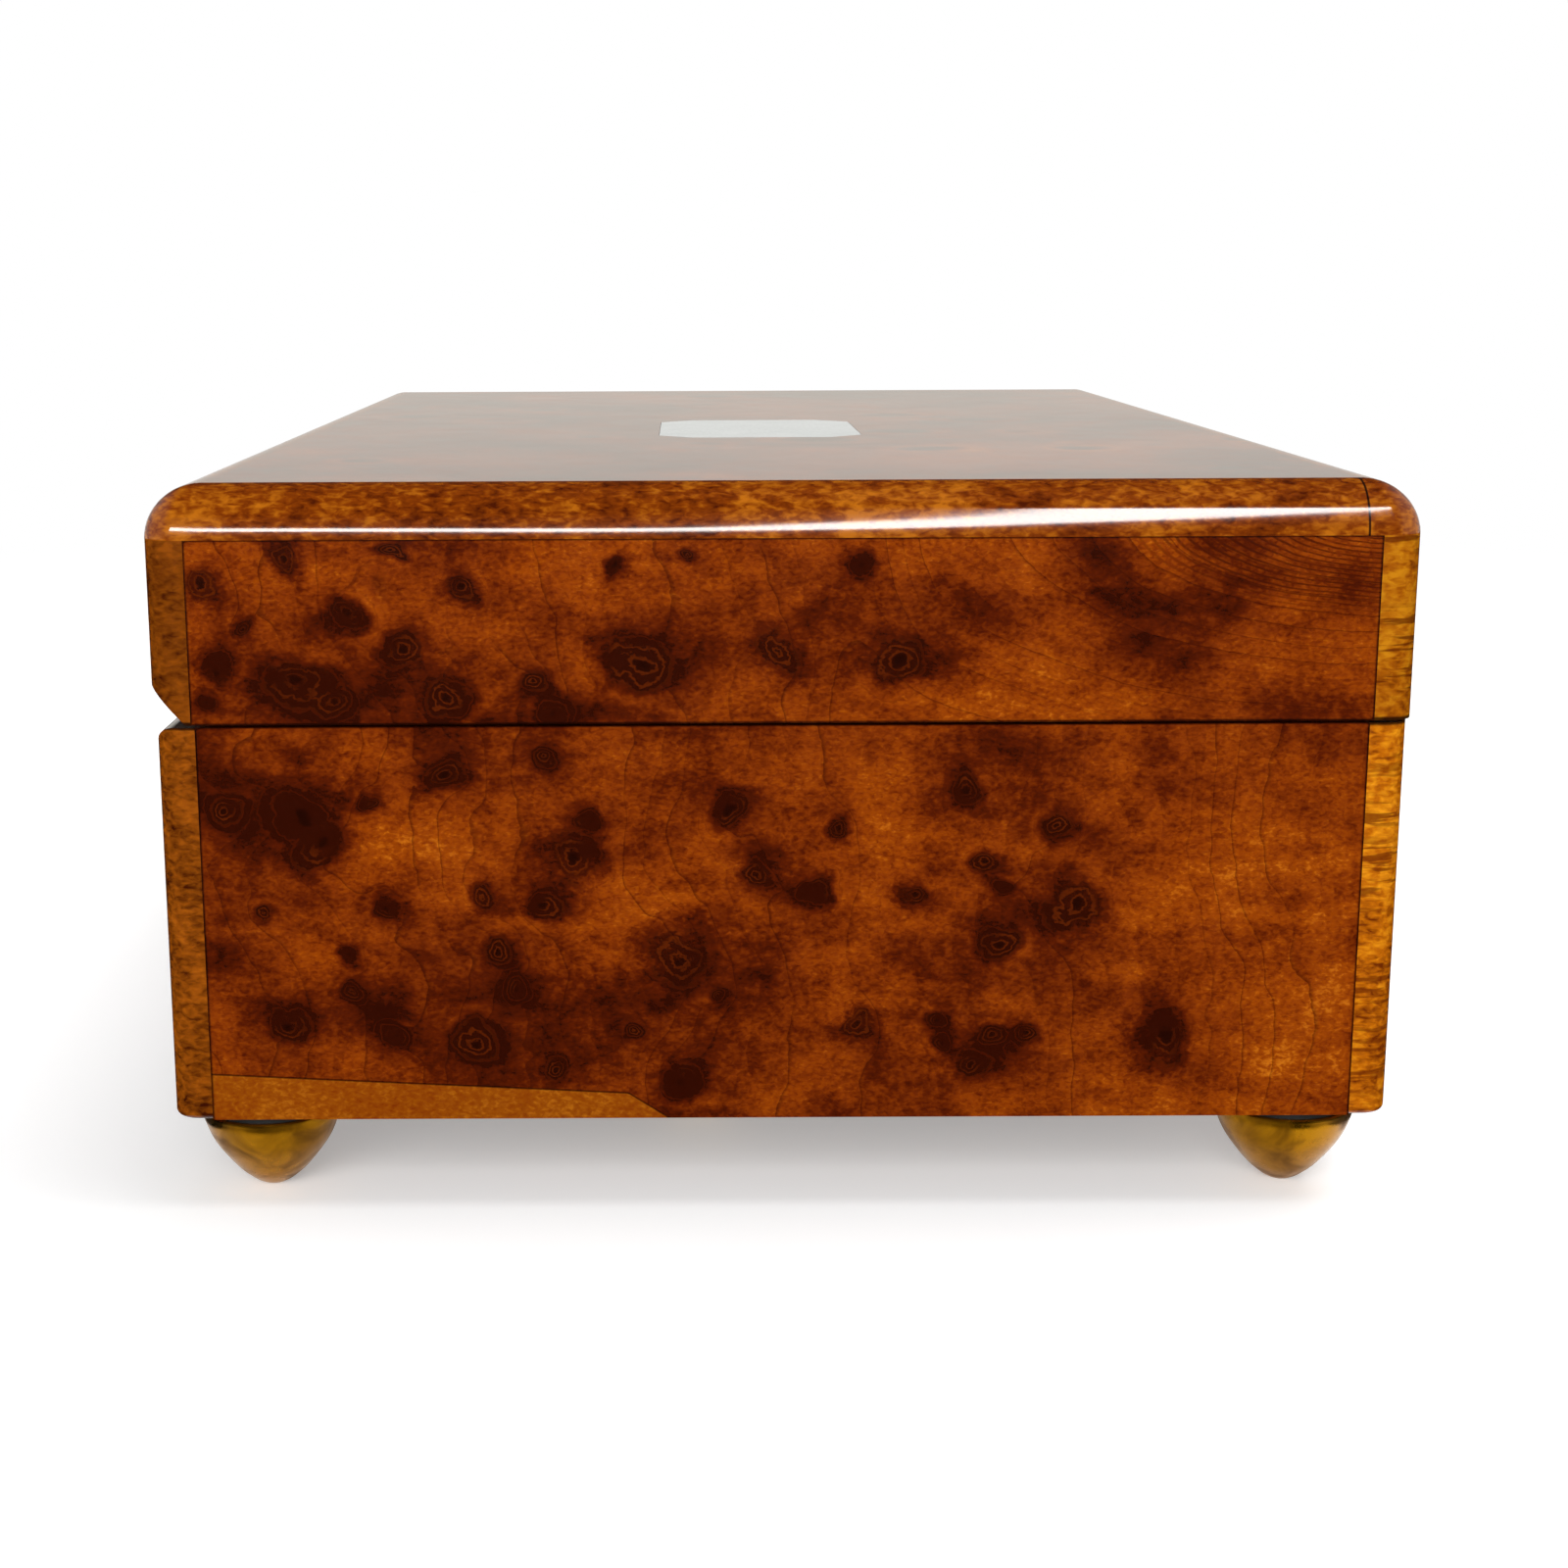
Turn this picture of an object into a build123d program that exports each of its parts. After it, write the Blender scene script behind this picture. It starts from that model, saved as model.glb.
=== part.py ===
"""Music box: a burl veneered case with a hinged lid, a comb movement under glass and a lined tray.

Millimetres. X runs along the case, the front faces -Y, the hinges lie at +Y and Z is up from the floor.
"""

import os
from math import cos, radians, sin

from build123d import *

os.makedirs("parts", exist_ok=True)

# Clearances
fit_gap = 0.05
seam_gap = 0.3

# Case and lid
case_length = 184.0
case_width = 120.0
case_height = 39.3
wall = 7.0
strip_size = 4.0
corner_radius = 2.6
bottom_arris = 0.6
back_edge_round = 1.9
lid_overhang = 0.3
lid_wall_height = 17.6
lipping_width = 5.4
lipping_height = 5.0
lipping_round = 4.9
bevel_depth = 3.5
bevel_rise = 3.8
bottom_thickness = 4.0

# Inlaid plate and lid lining
inlay_length = 34.0
inlay_width = 24.5
inlay_cant = 4.0
inlay_thickness = 1.0
inlay_x = -10.0
lid_lining_thickness = 2.0

# Feet
foot_radius = 7.0
foot_height = 8.3
foot_tip_radius = 1.3
foot_inset = 8.4
washer_thickness = 1.1
washer_radius = 6.6
stud_radius = 1.2
stud_length = 4.6

# Hinges
hinge_spacing = 116.0
hinge_length = 22.0
pin_inset = 2.0
pin_rise = 0.5
pin_radius = 0.6
knuckle_radius = 1.45
knuckle_pocket = 1.75
leaf_thickness = 0.8
leaf_edge = 1.8
leaf_depth = 2.9
end_knuckle = 7.0
knuckle_gap = 0.2
hinge_screw_head = 0.9
hinge_screw_shank = 0.5
hinge_screw_length = 5.0

# Compartments and glass
divider_thickness = 4.0
divider_gap = 2.0
divider_drop = 1.0
floor_pad_thickness = 3.0
lining_thickness = 0.8
lining_drop = 2.5
glass_thickness = 2.0
glass_frame_width = 3.0
glass_frame_height = 4.0
glass_rebate = 1.6
glass_drop = 2.5

# Movement bedplate
bed_length = 86.0
bed_width = 72.0
bed_thickness = 3.0
bed_end_gap = 3.0
bed_y = 7.0
boss_height = 2.0
boss_radius = 3.0
bed_screw_inset = 4.0

# Screws of the movement
screw_shank = 0.9
screw_head = 1.6
screw_head_height = 1.0
screw_slot = 0.4
screw_slot_depth = 0.5

# Cylinder
axis_y = 8.0
axis_rise = 15.0
cylinder_radius = 8.5
cylinder_shell = 0.8
cylinder_length = 32.0
arbor_radius = 1.0
bracket_width = 10.0
bracket_thickness = 2.4
bracket_foot = 8.0
bracket_foot_thickness = 2.0
bracket_head = 4.0
left_bracket_gap = 3.0
pinion_gap = 1.6

# Comb
comb_thickness = 1.2
comb_depth = 22.5
comb_teeth = 31
comb_tooth_spacing = 1.0
comb_slot = 0.3
comb_slot_depth = 13.0
comb_tip_gap = 1.0
comb_drop = 0.4
comb_base_depth = 9.0
comb_base_overhang = 1.0
comb_screws = 3
comb_screw_pitch = 11.0

# Spring barrel with its crown teeth, and the pinion that they drive
barrel_inset = 15.5
barrel_radius = 14.2
barrel_shell = 1.2
barrel_height = 10.0
barrel_plate = 1.0
barrel_float = 0.6
crown_teeth = 36
crown_mean_radius = 13.0
crown_face = 2.0
crown_tooth_width = 0.75
crown_tooth_height = 1.4
pinion_teeth = 10
pinion_addendum = 0.55
pinion_dedendum = 0.76
pinion_tooth_width = 0.85
pinion_face = 3.0
spring_bore = 4.5
spring_clearance = 0.5

# Barrel bridge, winding arbor, ratchet, click and key
bridge_gap = 1.2
bridge_thickness = 1.8
bridge_arm_width = 7.0
bridge_post_radius = 2.5
bridge_post_reach = 18.5
winding_radius = 2.0
winding_top = 1.1
winding_hole_gap = 1.0
ratchet_teeth = 18
ratchet_radius = 5.2
ratchet_tip_radius = 6.0
ratchet_thickness = 1.2
click_pivot_dx = 1.5
click_pivot_dy = 11.0
click_nose_dx = -0.4
click_nose_gap = 0.4
click_hub_radius = 1.9
key_gap = 0.6
key_hub_radius = 3.0
key_hub_height = 6.8
key_grip = 5.0
key_wing_reach = 6.8
key_wing_length = 8.6
key_wing_height = 6.6
key_wing_rim = 1.4
key_thickness = 1.8

# Governor
wheel_teeth = 48
second_teeth = 12
governor_module = 0.4
wheel_thickness = 1.5
wheel_gap = 1.4
wheel_tooth_width = 0.45
wheel_addendum = 0.35
wheel_dedendum = 0.5
second_angle = -30.0
second_radius = 0.6
governor_bracket_gap = 1.5
governor_bracket_thickness = 2.2
governor_cheek_gap = 5.2
governor_cheek_thickness = 1.6
governor_cheek_head = 3.1
worm_wheel_teeth = 24
worm_wheel_thickness = 1.8
worm_radius = 1.1
worm_length = 7.0
fly_radius = 0.5
fly_reach = 6.0
fly_blade_height = 6.5
fly_blade_thickness = 0.4
fly_blade_bottom = 15.1
fly_hub_radius = 1.1
cock_arm_width = 6.0
cock_arm_thickness = 1.5
cock_arm_bottom = 23.5
cock_post_gap = 0.6
cock_post_depth = 3.0
cock_foot_thickness = 2.4
cock_foot_length = 14.0
cock_screw_inset = 2.0
cock_front = 1.8
pivot_depth = 0.7
pivot_play = 0.1

# Stop wire that the lid holds down
stop_dx = 4.5
stop_y_inset = 4.8
stop_stem_radius = 0.8
stop_arm_radius = 0.4
stop_stem_length = 14.0
stop_arm_drop = 7.5
stop_travel = 2.0
stop_arm_reach = 28.5
stop_slot_width = 2.0
stop_slot_margin = 0.7

# Places worked out from the sizes
case_bottom = foot_height + washer_thickness
case_top = case_bottom + case_height
lid_bottom = case_top + seam_gap
lid_length = case_length + 2 * lid_overhang
lid_width = case_width + 2 * lid_overhang
lipping_bottom = lid_bottom + lid_wall_height
lid_top = lipping_bottom + lipping_height
floor_top = case_bottom + bottom_thickness
inner_x = case_length / 2 - wall
inner_y = case_width / 2 - wall
lid_inner_x = lid_length / 2 - wall
lid_inner_y = lid_width / 2 - wall
hinge_y = case_width / 2 - pin_inset
hinge_z = case_top + pin_rise
bed_left = bed_end_gap - inner_x
bed_x = bed_left + bed_length / 2
divider_left = bed_left + bed_length + divider_gap
divider_right = divider_left + divider_thickness
divider_x = (divider_left + divider_right) / 2
barrel_x = bed_left + barrel_inset
bed_bottom = floor_top + boss_height
bed_top = bed_bottom + bed_thickness
axis_z = bed_top + axis_rise
pinion_x = barrel_x + crown_mean_radius
left_bracket_left = pinion_x + pinion_face / 2 + pinion_gap
left_bracket_right = left_bracket_left + bracket_thickness
cylinder_left = left_bracket_right + left_bracket_gap
cylinder_right = cylinder_left + cylinder_length
wheel_left = cylinder_right + wheel_gap
wheel_right = wheel_left + wheel_thickness
right_bracket_left = wheel_right + governor_bracket_gap
right_bracket_right = right_bracket_left + governor_bracket_thickness
cheek_left = right_bracket_right + governor_cheek_gap
cheek_right = cheek_left + governor_cheek_thickness
worm_x = (right_bracket_right + cheek_left) / 2
crown_pitch = crown_mean_radius / crown_teeth
pinion_radius = crown_pitch * pinion_teeth
barrel_bottom = bed_top + barrel_float
barrel_top = barrel_bottom + barrel_height
crown_top = barrel_top + crown_tooth_height
bridge_bottom = crown_top + bridge_gap
bridge_top = bridge_bottom + bridge_thickness
ratchet_bottom = bridge_top + seam_gap
ratchet_top = ratchet_bottom + ratchet_thickness
key_top = case_bottom - key_gap
wheel_radius = governor_module * wheel_teeth / 2
second_pitch_radius = governor_module * second_teeth / 2
second_y = axis_y + (wheel_radius + second_pitch_radius) * cos(radians(second_angle))
second_z = axis_z + (wheel_radius + second_pitch_radius) * sin(radians(second_angle))
worm_wheel_radius = governor_module * worm_wheel_teeth / 2
fly_y = second_y + worm_wheel_radius + wheel_addendum + worm_radius + 2 * fit_gap
cock_post_y = fly_y + fly_reach + cock_post_gap
cock_back = cock_post_y + cock_post_depth
cock_arm_z = bed_top + cock_arm_bottom
stop_x = worm_x + stop_dx
stop_y = case_width / 2 - stop_y_inset
stop_arm_z = case_top - stop_arm_drop
comb_top = axis_z + comb_thickness / 2 - comb_drop
comb_bottom = comb_top - comb_thickness
comb_tip_y = axis_y - cylinder_radius - comb_tip_gap
comb_back_y = comb_tip_y - comb_depth
comb_x = (cylinder_left + cylinder_right) / 2
comb_width = comb_teeth * comb_tooth_spacing
comb_screw_y = comb_back_y + comb_base_depth / 2
foot_x = case_length / 2 - foot_inset
foot_y = case_width / 2 - foot_inset
glass_top = case_top - glass_drop
glass_bottom = glass_top - glass_thickness
glass_frame_bottom = glass_top - glass_frame_height

made = []


def finish(part, name):
    """Name a finished piece and write it out."""
    part.label = name
    export_step(part, f"parts/{name}.step")
    made.append(name)


def long_wall(length, width, bottom, height, side):
    """A front (-1) or back (+1) wall, mitred behind the notches for the corner strips."""
    with BuildPart() as piece:
        with BuildSketch(Plane.XY.offset(bottom)):
            with BuildLine():
                Polyline(
                    (-length / 2 + strip_size, side * width / 2),
                    (length / 2 - strip_size, side * width / 2),
                    (length / 2 - strip_size, side * (width / 2 - strip_size)),
                    (length / 2 - wall, side * (width / 2 - wall)),
                    (-length / 2 + wall, side * (width / 2 - wall)),
                    (-length / 2 + strip_size, side * (width / 2 - strip_size)),
                    close=True,
                )
            make_face()
        extrude(amount=height)
    return piece.part


def end_wall(length, width, bottom, height, end):
    """A left (-1) or right (+1) wall, mitred behind the notches for the corner strips."""
    with BuildPart() as piece:
        with BuildSketch(Plane.XY.offset(bottom)):
            with BuildLine():
                Polyline(
                    (end * length / 2, -width / 2 + strip_size),
                    (end * length / 2, width / 2 - strip_size),
                    (end * (length / 2 - strip_size), width / 2 - strip_size),
                    (end * (length / 2 - wall), width / 2 - wall),
                    (end * (length / 2 - wall), -width / 2 + wall),
                    (end * (length / 2 - strip_size), -width / 2 + strip_size),
                    close=True,
                )
            make_face()
        extrude(amount=height)
    return piece.part


def corner_strips(length, width, bottom, height):
    """The four square strips let into the corners, with their outer edge rounded."""
    with BuildPart() as piece:
        with BuildSketch(Plane.XY.offset(bottom)):
            RectangleRounded(length, width, corner_radius)
            Rectangle(length - 2 * strip_size, width, mode=Mode.SUBTRACT)
            Rectangle(length, width - 2 * strip_size, mode=Mode.SUBTRACT)
        extrude(amount=height)
    return piece.part


def back_bevel():
    """What the bevel takes off the lower back edge of the lid."""
    back = lid_width / 2
    with BuildPart() as piece:
        with BuildSketch(Plane.YZ):
            Polygon(
                (back - bevel_depth, lid_bottom),
                (back - bevel_depth, lid_bottom - wall),
                (back + wall, lid_bottom - wall),
                (back + wall, lid_bottom + bevel_rise),
                (back, lid_bottom + bevel_rise),
                align=None,
            )
        extrude(amount=lid_length, both=True)
    return piece.part


def back_rounding():
    """What the rounding takes off the upper back edge of the case."""
    middle = (case_width / 2 - back_edge_round, case_top - back_edge_round)
    with BuildPart() as piece:
        with BuildSketch(Plane.YZ):
            with Locations(middle):
                Rectangle(2 * back_edge_round, 2 * back_edge_round, align=Align.MIN)
                Circle(back_edge_round, mode=Mode.SUBTRACT)
        extrude(amount=case_length, both=True)
    return piece.part


def bottom_rounding():
    """The shape that the case keeps where its lower edges are rounded."""
    with BuildPart() as piece:
        with BuildSketch(Plane.XY.offset(case_bottom)):
            RectangleRounded(case_length, case_width, corner_radius)
        extrude(amount=case_height)
        fillet(piece.faces().sort_by(Axis.Z)[0].edges(), bottom_arris)
    return piece.part


def hinge_middles():
    """The middle of each hinge on the pin's line."""
    return [(-hinge_spacing / 2, hinge_y, hinge_z), (hinge_spacing / 2, hinge_y, hinge_z)]


def hinge_pockets():
    """The round pockets cut for the knuckles in both walls."""
    with BuildPart() as piece:
        with Locations(*hinge_middles()):
            Cylinder(knuckle_pocket, hinge_length + 2 * seam_gap, rotation=(0, 90, 0))
    return piece.part


def leaf_bed(bottom, back, slack):
    """The flat parts of both leaves from a back line, with their lower face at bottom."""
    with BuildPart() as piece:
        with Locations(
            (-hinge_spacing / 2, back, bottom),
            (hinge_spacing / 2, back, bottom),
        ):
            Box(
                hinge_length + 2 * slack,
                back - hinge_y + leaf_edge + leaf_depth + slack,
                leaf_thickness,
                align=(Align.CENTER, Align.MAX, Align.MIN),
            )
    return piece.part


def leaf_screw_places(height):
    """Three screws for each hinge, at a height."""
    places = []
    for middle in (-hinge_spacing / 2, hinge_spacing / 2):
        for step in (-1, 0, 1):
            places.append((middle + step * hinge_length / 3, hinge_y - leaf_edge - leaf_depth / 2, height))
    return places


def leaf_screws(height, turn, slack):
    """Countersunk screws with their heads flush at a height, pointing down when turn is 180."""
    places = [Location(place, (turn, 0, 0)) for place in leaf_screw_places(height)]
    with BuildPart() as piece:
        with Locations(*places):
            Cone(
                hinge_screw_head + slack,
                hinge_screw_shank + slack,
                leaf_thickness,
                align=(Align.CENTER, Align.CENTER, Align.MIN),
            )
            Cylinder(
                hinge_screw_shank + slack,
                hinge_screw_length,
                align=(Align.CENTER, Align.CENTER, Align.MIN),
            )
            if slack == 0:
                Box(
                    2 * hinge_screw_head,
                    screw_slot / 2,
                    screw_slot,
                    mode=Mode.SUBTRACT,
                )
    return piece.part


def plate_screws(places, length):
    """Cheese head screws standing on the places, with their shanks pointing down."""
    with BuildPart() as piece:
        with Locations(*places):
            Cylinder(screw_head, screw_head_height, align=(Align.CENTER, Align.CENTER, Align.MIN))
            Cylinder(screw_shank, length, align=(Align.CENTER, Align.CENTER, Align.MAX))
        tops = [(x, y, z + screw_head_height) for x, y, z in places]
        with Locations(*tops):
            Box(
                2 * screw_head,
                screw_slot,
                screw_slot_depth,
                align=(Align.CENTER, Align.CENTER, Align.MAX),
                mode=Mode.SUBTRACT,
            )
    return piece.part


def shank_holes(places, length):
    """The holes for screws of a length that stand on the places."""
    with BuildPart() as piece:
        with Locations(*places):
            Cylinder(
                screw_shank + fit_gap,
                length + fit_gap,
                align=(Align.CENTER, Align.CENTER, Align.MAX),
            )
    return piece.part


def gear_face(teeth, root_radius, tip_radius, tooth_width, phase):
    """Draw a toothed disc into the sketch that is open, with tapered teeth."""
    Circle(root_radius)
    with PolarLocations(0, teeth, start_angle=phase):
        Polygon(
            (root_radius * 0.8, -tooth_width * 0.62),
            (root_radius, -tooth_width * 0.62),
            (tip_radius, -tooth_width * 0.36),
            (tip_radius, tooth_width * 0.36),
            (root_radius, tooth_width * 0.62),
            (root_radius * 0.8, tooth_width * 0.62),
            align=None,
        )


# Screw places of the movement
bed_screws = []
for end in (-1, 1):
    for side in (-1, 1):
        x = bed_x + end * (bed_length / 2 - bed_screw_inset)
        y = bed_y + side * (bed_width / 2 - bed_screw_inset)
        bed_screws.append((x, y, bed_top))
bed_screw_length = bed_thickness + boss_height + bottom_thickness / 2
bracket_top = bed_top + bracket_foot_thickness
bracket_screws = [
    (left_bracket_right + bracket_foot / 2, axis_y, bracket_top),
    ((right_bracket_right + cheek_left) / 2, axis_y - bracket_width / 4, bracket_top),
    ((right_bracket_right + cheek_left) / 2, second_y - bracket_width / 10, bracket_top),
]
bracket_screw_length = bracket_foot_thickness + bed_thickness / 2
cock_screw_left = worm_x - cock_foot_length / 2 + cock_screw_inset
cock_screw_right = worm_x + cock_foot_length / 2 - cock_screw_inset
cock_screw_y = cock_back - cock_post_depth / 2
cock_screws = [
    (cock_screw_left, cock_screw_y, bed_top + cock_foot_thickness),
    (cock_screw_right, cock_screw_y, bed_top + cock_foot_thickness),
]
cock_screw_length = cock_foot_thickness + bed_thickness / 2
bridge_screws = [
    (barrel_x, axis_y - bridge_post_reach, bridge_top),
    (barrel_x, axis_y + bridge_post_reach, bridge_top),
]
bridge_screw_length = 5 * bridge_thickness
click_x = barrel_x + click_pivot_dx
click_y = axis_y + click_pivot_dy
click_screw = [(click_x, click_y, ratchet_top + fit_gap)]
click_screw_length = ratchet_top + fit_gap - bridge_bottom - bridge_thickness / 4
comb_screw_places = []
for step in range(comb_screws):
    x = comb_x + (step - (comb_screws - 1) / 2) * comb_screw_pitch
    comb_screw_places.append((x, comb_screw_y, comb_top))
comb_screw_length = 5 * comb_thickness


# Case walls
with BuildPart() as case_front_panel:
    add(long_wall(case_length, case_width, case_bottom, case_height, -1))
    add(bottom_rounding(), mode=Mode.INTERSECT)
finish(case_front_panel.part, "case_front_panel")

with BuildPart() as case_back_panel:
    add(long_wall(case_length, case_width, case_bottom, case_height, 1))
    add(bottom_rounding(), mode=Mode.INTERSECT)
    add(back_rounding(), mode=Mode.SUBTRACT)
    add(hinge_pockets(), mode=Mode.SUBTRACT)
    add(leaf_bed(case_top - leaf_thickness, hinge_y, fit_gap), mode=Mode.SUBTRACT)
    add(leaf_screws(case_top, 180, fit_gap), mode=Mode.SUBTRACT)
    with Locations((stop_x, stop_y, case_top)):
        Cylinder(
            stop_stem_radius + fit_gap,
            stop_stem_length + seam_gap,
            align=(Align.CENTER, Align.CENTER, Align.MAX),
            mode=Mode.SUBTRACT,
        )
    with Locations((stop_x, stop_y, stop_arm_z - stop_arm_radius - stop_slot_margin)):
        Box(
            stop_slot_width,
            wall,
            stop_travel + 2 * stop_arm_radius + 2 * stop_slot_margin,
            align=(Align.CENTER, Align.MAX, Align.MIN),
            mode=Mode.SUBTRACT,
        )
finish(case_back_panel.part, "case_back_panel")

with BuildPart() as case_left_end:
    add(end_wall(case_length, case_width, case_bottom, case_height, -1))
    add(bottom_rounding(), mode=Mode.INTERSECT)
finish(case_left_end.part, "case_left_end")

with BuildPart() as case_right_end:
    add(end_wall(case_length, case_width, case_bottom, case_height, 1))
    add(bottom_rounding(), mode=Mode.INTERSECT)
finish(case_right_end.part, "case_right_end")

with BuildPart() as case_corner_strips:
    add(corner_strips(case_length, case_width, case_bottom, case_height))
    add(bottom_rounding(), mode=Mode.INTERSECT)
    add(back_rounding(), mode=Mode.SUBTRACT)
finish(case_corner_strips.part, "case_corner_strips")

# Bottom board with the holes for the feet, the movement and the key
with BuildPart() as bottom_board:
    with Locations((0, 0, case_bottom)):
        Box(
            2 * inner_x,
            2 * inner_y,
            bottom_thickness,
            align=(Align.CENTER, Align.CENTER, Align.MIN),
        )
    with GridLocations(2 * foot_x, 2 * foot_y, 2, 2):
        with Locations((0, 0, case_bottom)):
            Cylinder(
                stud_radius + fit_gap,
                stud_length - washer_thickness + fit_gap,
                align=(Align.CENTER, Align.CENTER, Align.MIN),
                mode=Mode.SUBTRACT,
            )
    with Locations((barrel_x, axis_y, case_bottom)):
        Cylinder(
            winding_radius + winding_hole_gap,
            bottom_thickness,
            align=(Align.CENTER, Align.CENTER, Align.MIN),
            mode=Mode.SUBTRACT,
        )
    add(shank_holes(bed_screws, bed_screw_length), mode=Mode.SUBTRACT)
finish(bottom_board.part, "bottom_board")

with BuildPart() as compartment_divider:
    with Locations((divider_x, 0, floor_top)):
        Box(
            divider_thickness,
            2 * inner_y,
            case_top - divider_drop - floor_top,
            align=(Align.CENTER, Align.CENTER, Align.MIN),
        )
finish(compartment_divider.part, "compartment_divider")

# Tray: a padded floor and thin linings on its walls
tray_x = (divider_right + inner_x) / 2
tray_length = inner_x - divider_right
with BuildPart() as tray_floor_pad:
    with Locations((tray_x, 0, floor_top)):
        Box(
            tray_length - 2 * fit_gap,
            2 * inner_y - 2 * fit_gap,
            floor_pad_thickness,
            align=(Align.CENTER, Align.CENTER, Align.MIN),
        )
finish(tray_floor_pad.part, "tray_floor_pad")

lining_bottom = floor_top + floor_pad_thickness + fit_gap
lining_height = case_top - lining_drop - lining_bottom
with BuildPart() as tray_wall_lining:
    with Locations(
        (divider_right + lining_thickness / 2, 0, lining_bottom),
        (inner_x - lining_thickness / 2, 0, lining_bottom),
    ):
        Box(
            lining_thickness,
            2 * inner_y,
            lining_height,
            align=(Align.CENTER, Align.CENTER, Align.MIN),
        )
    with Locations(
        (tray_x, lining_thickness / 2 - inner_y, lining_bottom),
        (tray_x, inner_y - lining_thickness / 2, lining_bottom),
    ):
        Box(
            tray_length - 2 * lining_thickness - 2 * fit_gap,
            lining_thickness,
            lining_height,
            align=(Align.CENTER, Align.CENTER, Align.MIN),
        )
finish(tray_wall_lining.part, "tray_wall_lining")


# Feet: a turned bullet with its stud, and the black washer above it
def foot(x, y):
    """One brass foot that stands on the floor."""
    with BuildPart() as piece:
        with BuildSketch(Plane.XZ):
            with BuildLine():
                Line((0, 0), (foot_tip_radius, 0))
                Spline(
                    (foot_tip_radius, 0),
                    (foot_radius * 0.54, foot_height * 0.24),
                    (foot_radius * 0.825, foot_height * 0.56),
                    (foot_radius * 0.965, foot_height * 0.83),
                    (foot_radius, foot_height),
                )
                Line((foot_radius, foot_height), (stud_radius, foot_height))
                Line((stud_radius, foot_height), (stud_radius, foot_height + stud_length))
                Line((stud_radius, foot_height + stud_length), (0, foot_height + stud_length))
                Line((0, foot_height + stud_length), (0, 0))
            make_face()
        revolve(axis=Axis.Z)
    return piece.part.moved(Location((x, y, 0)))


finish(foot(-foot_x, -foot_y), "foot_front_left")
finish(foot(foot_x, -foot_y), "foot_front_right")
finish(foot(-foot_x, foot_y), "foot_back_left")
finish(foot(foot_x, foot_y), "foot_back_right")

with BuildPart() as foot_washers:
    with BuildSketch(Plane.XY.offset(foot_height)):
        with GridLocations(2 * foot_x, 2 * foot_y, 2, 2):
            Circle(washer_radius)
            Circle(stud_radius + fit_gap, mode=Mode.SUBTRACT)
    extrude(amount=washer_thickness)
finish(foot_washers.part, "foot_washers")

# Lid walls
with BuildPart() as lid_front_panel:
    add(long_wall(lid_length, lid_width, lid_bottom, lid_wall_height, -1))
finish(lid_front_panel.part, "lid_front_panel")

with BuildPart() as lid_back_panel:
    add(long_wall(lid_length, lid_width, lid_bottom, lid_wall_height, 1))
    add(back_bevel(), mode=Mode.SUBTRACT)
    add(hinge_pockets(), mode=Mode.SUBTRACT)
    add(leaf_bed(lid_bottom, hinge_y, fit_gap), mode=Mode.SUBTRACT)
    add(leaf_screws(lid_bottom, 0, fit_gap), mode=Mode.SUBTRACT)
finish(lid_back_panel.part, "lid_back_panel")

with BuildPart() as lid_left_end:
    add(end_wall(lid_length, lid_width, lid_bottom, lid_wall_height, -1))
finish(lid_left_end.part, "lid_left_end")

with BuildPart() as lid_right_end:
    add(end_wall(lid_length, lid_width, lid_bottom, lid_wall_height, 1))
finish(lid_right_end.part, "lid_right_end")

with BuildPart() as lid_corner_strips:
    add(corner_strips(lid_length, lid_width, lid_bottom, lid_wall_height))
    add(back_bevel(), mode=Mode.SUBTRACT)
finish(lid_corner_strips.part, "lid_corner_strips")


# Lippings round the top of the lid
def lipping_ring():
    """All four lippings as one rounded ring, from which each is cut."""
    with BuildPart() as piece:
        with BuildSketch(Plane.XY.offset(lipping_bottom)):
            RectangleRounded(lid_length, lid_width, corner_radius)
        extrude(amount=lipping_height)
        fillet(piece.faces().sort_by(Axis.Z)[-1].edges(), lipping_round)
        with Locations((0, 0, lipping_bottom)):
            Box(
                lid_length - 2 * lipping_width,
                lid_width - 2 * lipping_width,
                lipping_height,
                align=(Align.CENTER, Align.CENTER, Align.MIN),
                mode=Mode.SUBTRACT,
            )
    return piece.part


def long_lipping(side):
    """The front (-1) or back (+1) lipping, which runs the full length."""
    with BuildPart() as piece:
        add(lipping_ring())
        with Locations((0, side * (lid_width / 2 - lipping_width / 2), lipping_bottom)):
            Box(
                lid_length,
                lipping_width,
                lipping_height,
                align=(Align.CENTER, Align.CENTER, Align.MIN),
                mode=Mode.INTERSECT,
            )
    return piece.part


def end_lipping(end):
    """The left (-1) or right (+1) lipping, which butts between the long ones."""
    with BuildPart() as piece:
        add(lipping_ring())
        with Locations((end * (lid_length / 2 - lipping_width / 2), 0, lipping_bottom)):
            Box(
                lipping_width,
                lid_width - 2 * lipping_width,
                lipping_height,
                align=(Align.CENTER, Align.CENTER, Align.MIN),
                mode=Mode.INTERSECT,
            )
    return piece.part


finish(long_lipping(-1), "lid_front_lipping")
finish(long_lipping(1), "lid_back_lipping")
finish(end_lipping(-1), "lid_left_lipping")
finish(end_lipping(1), "lid_right_lipping")


def inlay_outline(slack):
    """Draw the canted outline of the inlaid plate into the sketch that is open."""
    half_x = inlay_length / 2 + slack
    half_y = inlay_width / 2 + slack
    Polygon(
        (-half_x, -half_y + inlay_cant),
        (-half_x + inlay_cant, -half_y),
        (half_x - inlay_cant, -half_y),
        (half_x, -half_y + inlay_cant),
        (half_x, half_y - inlay_cant),
        (half_x - inlay_cant, half_y),
        (-half_x + inlay_cant, half_y),
        (-half_x, half_y - inlay_cant),
        align=None,
    )


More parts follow.
